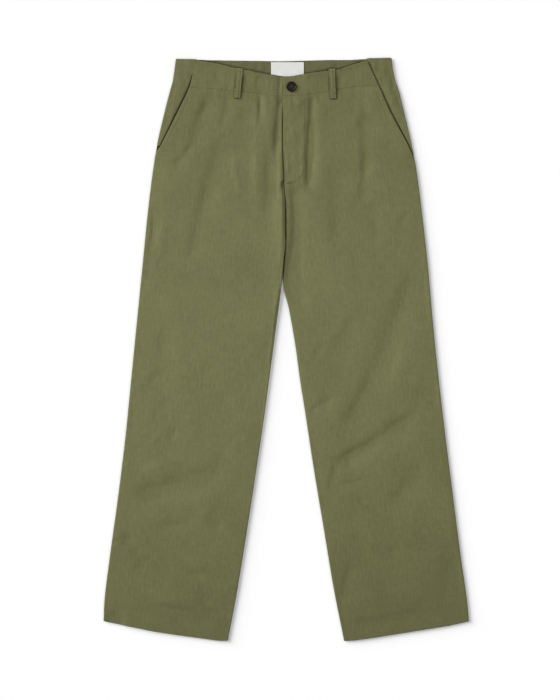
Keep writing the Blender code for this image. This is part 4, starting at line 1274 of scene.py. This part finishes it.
class Nodes:
    """Short ways to add the nodes of one material."""

    def __init__(self, name):
        self.material = bpy.data.materials.new(name)
        self.material.use_nodes = True
        self.tree = self.material.node_tree
        self.shader = self.tree.nodes["Principled BSDF"]

    def feed(self, sockets, values):
        for socket, value in values.items():
            if isinstance(value, bpy.types.NodeSocket):
                self.tree.links.new(value, sockets[socket])
            else:
                sockets[socket].default_value = value

    def node(self, kind, inputs=None, output=0, **settings):
        made = self.tree.nodes.new("ShaderNode" + kind)
        for key, value in settings.items():
            setattr(made, key, value)
        self.feed(made.inputs, inputs or {})
        return made.outputs[output]

    def math(self, operation, *values):
        return self.node("Math", dict(enumerate(values)), operation=operation)

    def times(self, a, b):
        return self.math("MULTIPLY", a, b)

    def times_add(self, a, b, c):
        return self.math("MULTIPLY_ADD", a, b, c)

    def waves(self, value, length):
        return self.math("SINE", self.times(value, 2 * math.pi / length))

    def sum(self, *terms):
        """1 and a sum of (value, weight, middle): each value, less its middle, times its weight."""
        total = 1.0
        for value, weight, middle in terms:
            total = self.times_add(self.math("SUBTRACT", value, middle), weight, total)
        return total

    def parts(self, place, count):
        return [self.node("SeparateXYZ", {0: place}, output=i) for i in range(count)]

    def grain(self):
        return self.parts(self.node("UVMap", uv_map="grain"), 2)

    def place(self, count):
        return self.parts(self.node("TexCoord", output=3), count)

    # The edge measure of a shell, which darkens the cloth and the label as painted shade.
    def rim(self):
        return self.node("Attribute", attribute_name="rim", output=2)

    def noise(self, u, v, scale_u, scale_v, detail=2.0, offset=0.0):
        place = {0: self.times(u, scale_u), 1: self.times(v, scale_v), 2: offset}
        place = self.node("CombineXYZ", place)
        return self.node("TexNoise", {"Vector": place, "Scale": 1.0, "Detail": detail})

    def scaled(self, colour, by):
        return self.node("VectorMath", {0: colour, "Scale": by}, operation="SCALE")

    def bump(self, height, distance, strength):
        return self.node("Bump", {"Height": height, "Distance": distance, "Strength": strength})

    def finish(self, colour, roughness, **others):
        """The material, with the other inputs named as the shader's are, with _ for each space."""
        self.feed(self.shader.inputs, {"Base Color": colour, "Roughness": roughness})
        self.feed(self.shader.inputs, {name.replace("_", " "): value for name, value in others.items()})
        return self.material


def falloff(nodes):
    """The photograph's light falls off from the right knee to the waist and the hems.

    The cloth's tone carries this, so that the light on the floor stays even.
    """
    x, y = nodes.place(2)
    from_knee = nodes.math("SUBTRACT", y, 0.12)
    down = nodes.times(nodes.times(from_knee, from_knee), -0.56)
    return nodes.math("ADD", nodes.times_add(x, -0.15, 1.045), down)


def crevice_shade(nodes, reach, closed, open_from):
    """Painted shade, from ambient occlusion, where pieces of cloth close in on each other: pocket
    mouths, fly, loops and seams.
    """
    openness = nodes.node("AmbientOcclusion", {"Distance": reach}, output=1, samples=12)
    return nodes.node("MapRange", {"Value": openness, "From Min": closed, "From Max": open_from,
                                   "To Min": 0.03, "To Max": 1.0})


def cloth_material(name):
    """Herringbone twill: slanting ridges that turn the other way from column to column."""
    nodes = Nodes(name)
    u, v = nodes.grain()
    u = nodes.times_add(nodes.noise(u, v, 3.0, 9.0), 0.0012, u)
    zigzag = nodes.math("PINGPONG", u, COLUMN_WIDTH)
    turned = nodes.math("FRACT", nodes.math("DIVIDE", u, 2 * COLUMN_WIDTH))
    column = nodes.math("GREATER_THAN", turned, 0.5)
    slanted = nodes.math("ADD", v, nodes.times(zigzag, 1.15))
    phase = nodes.times_add(column, 0.5, nodes.math("DIVIDE", slanted, TWILL_PITCH))
    ridge = nodes.times(nodes.math("PINGPONG", phase, 0.5), 2.0)
    yarn = nodes.waves(u, 0.00052)
    fibre = nodes.noise(u, v, 5200.0, 2600.0)
    streak = nodes.noise(u, v, 560.0, 42.0, detail=3.0, offset=3.0)
    slub = nodes.noise(u, v, 45.0, 900.0, offset=5.0)
    mottle = nodes.noise(u, v, 16.0, 11.0, detail=4.0, offset=7.0)
    patch = nodes.noise(u, v, 170.0, 110.0, offset=9.0)
    # The column term is a painted reflection: neighbouring columns are lighter or darker as light
    # glances off their slant. The rim term is painted shade along the rolled edges of the cloth.
    tone = nodes.sum((ridge, 0.14, 0.5), (column, 0.018, 0.5), (streak, 0.40, 0.5),
                     (patch, 0.26, 0.5), (slub, 0.22, 0.5), (mottle, 0.24, 0.5), (fibre, 0.30, 0.5),
                     (nodes.rim(), -0.50, 0.0))
    # Painted shade where cloth closes in: it darkens the tone, takes out more blue so that the shade
    # turns olive, and damps the sheen and the specular there.
    shade = crevice_shade(nodes, *CREVICE_SHADE[name])
    tone = nodes.times(nodes.times(tone, falloff(nodes)), shade)
    shade_tint = nodes.node("CombineXYZ", {0: 1.0, 1: 1.0, 2: nodes.times_add(shade, 0.5, 0.5)})
    tint = nodes.node("VectorMath", {0: COLOURS[name], 1: shade_tint}, operation="MULTIPLY")
    height = nodes.times_add(fibre, 0.55, nodes.times_add(yarn, 0.10, ridge))
    return nodes.finish(nodes.scaled(tint, tone), nodes.times_add(ridge, -0.06, 0.94),
                        Sheen_Weight=nodes.times(shade, 0.12), Sheen_Roughness=0.45,
                        Specular_IOR_Level=nodes.times(shade, 0.22),
                        Normal=nodes.bump(height, 0.00016, 0.55))


def thread_material(name):
    """Twisted sewing thread."""
    nodes = Nodes(name)
    x, y, z = nodes.place(3)
    twist = nodes.waves(nodes.math("ADD", nodes.math("ADD", x, y), z), 0.0004)
    patch = nodes.noise(x, y, 300.0, 300.0)
    tone = nodes.sum((twist, 0.10, 0.0), (patch, 0.20, 0.5))
    return nodes.finish(nodes.scaled(COLOURS[name], tone), nodes.times_add(patch, 0.2, 0.55),
                        Sheen_Weight=0.15, Normal=nodes.bump(twist, 0.00005, 0.6))


def label_material(name):
    """Plain satin-woven tape: fine ribs across it."""
    nodes = Nodes(name)
    u, v = nodes.grain()
    rib, warp = nodes.waves(v, 0.00042), nodes.waves(u, 0.00030)
    patch = nodes.noise(u, v, 260.0, 420.0, detail=4.0)
    # The rim term is painted shade along the label's edges.
    tone = nodes.sum((rib, 0.03, 0.0), (warp, 0.02, 0.0), (patch, 0.10, 0.5), (nodes.rim(), -0.15, 0.0))
    height = nodes.math("ADD", rib, nodes.times(warp, 0.5))
    return nodes.finish(nodes.scaled(COLOURS[name], tone), nodes.times_add(patch, 0.15, 0.50),
                        Sheen_Weight=0.10, Normal=nodes.bump(height, 0.00005, 0.5))


def horn_material(name):
    """Dark mottled horn, polished."""
    nodes = Nodes(name)
    x, y = nodes.place(2)
    cloud = nodes.noise(x, y, 420.0, 180.0, detail=4.0, offset=1.0)
    vein = nodes.noise(x, y, 1500.0, 260.0, detail=3.0, offset=2.0)
    scratch = nodes.noise(x, y, 9000.0, 1600.0, offset=4.0)
    tone = nodes.math("MAXIMUM", nodes.sum((cloud, 2.2, 0.5), (vein, 1.1, 0.5)), 0.25)
    return nodes.finish(nodes.scaled(COLOURS[name], tone), nodes.times_add(vein, 0.20, 0.34),
                        Specular_IOR_Level=0.16, Normal=nodes.bump(scratch, 0.00003, 0.5))


# ---------------------------------------------------------------- stage

def add_camera():
    data = bpy.data.cameras.new("camera")
    data.lens = LENS
    data.sensor_width = 36.0
    data.clip_start = 0.05
    data.clip_end = 50.0
    bpy.context.scene.camera = placed("camera", data, CAMERA_PLACE)


def add_floor():
    shape = bmesh.new()
    bmesh.ops.create_grid(shape, x_segments=2, y_segments=2, size=8.0)
    mesh = bpy.data.meshes.new("floor")
    shape.to_mesh(mesh)
    shape.free()
    material = Nodes("floor").finish((*COLOURS["floor"], 1.0), 1.0, Specular_IOR_Level=0.0)
    floor = mesh_object("floor", mesh, material, shade_smooth=False)
    floor.location.z = FLOOR_Z


def add_sun(name, radiance, towards, angle):
    """A broad even light that gives the floor this radiance."""
    towards = Vector(towards).normalized()
    data = bpy.data.lights.new(name, "SUN")
    data.angle = math.radians(angle)
    data.energy = radiance * math.pi / COLOURS["floor"][0] / towards.z
    placed(name, data).rotation_euler = towards.to_track_quat("Z", "Y").to_euler()


def add_lights():
    world = bpy.data.worlds.new("studio")
    world.use_nodes = True
    background = world.node_tree.nodes["Background"]
    background.inputs["Color"].default_value = (1.0, 1.0, 1.0, 1.0)
    background.inputs["Strength"].default_value = SKY_STRENGTH
    bpy.context.scene.world = world
    for sun in SUNS:
        add_sun(*sun)


def main():
    wardrobe = Wardrobe({"cloth": cloth_material("cloth"), "label": label_material("label"),
                         "cloth_inside": cloth_material("cloth_inside")})
    for leg in (RIGHT, LEFT):
        for piece in (back_panel, front_panel, side_piece, front_waistband):
            piece(leg, wardrobe)
    back_waistband(wardrobe)
    fly_shield(wardrobe)
    for name, top, bottom in BELT_LOOPS:
        belt_loop(name, top, bottom, wardrobe)
    label(wardrobe)
    thread = thread_material("thread")
    sew(wardrobe, thread, thread_material("pick_thread"), thread_material("label_thread"))
    turned_button(horn_material("button"), thread_material("button_thread"))
    buttonhole(wardrobe, thread, thread_material("slit"))
    add_floor()
    add_lights()
    add_camera()
    bpy.context.scene.view_settings.view_transform = "Standard"


main()
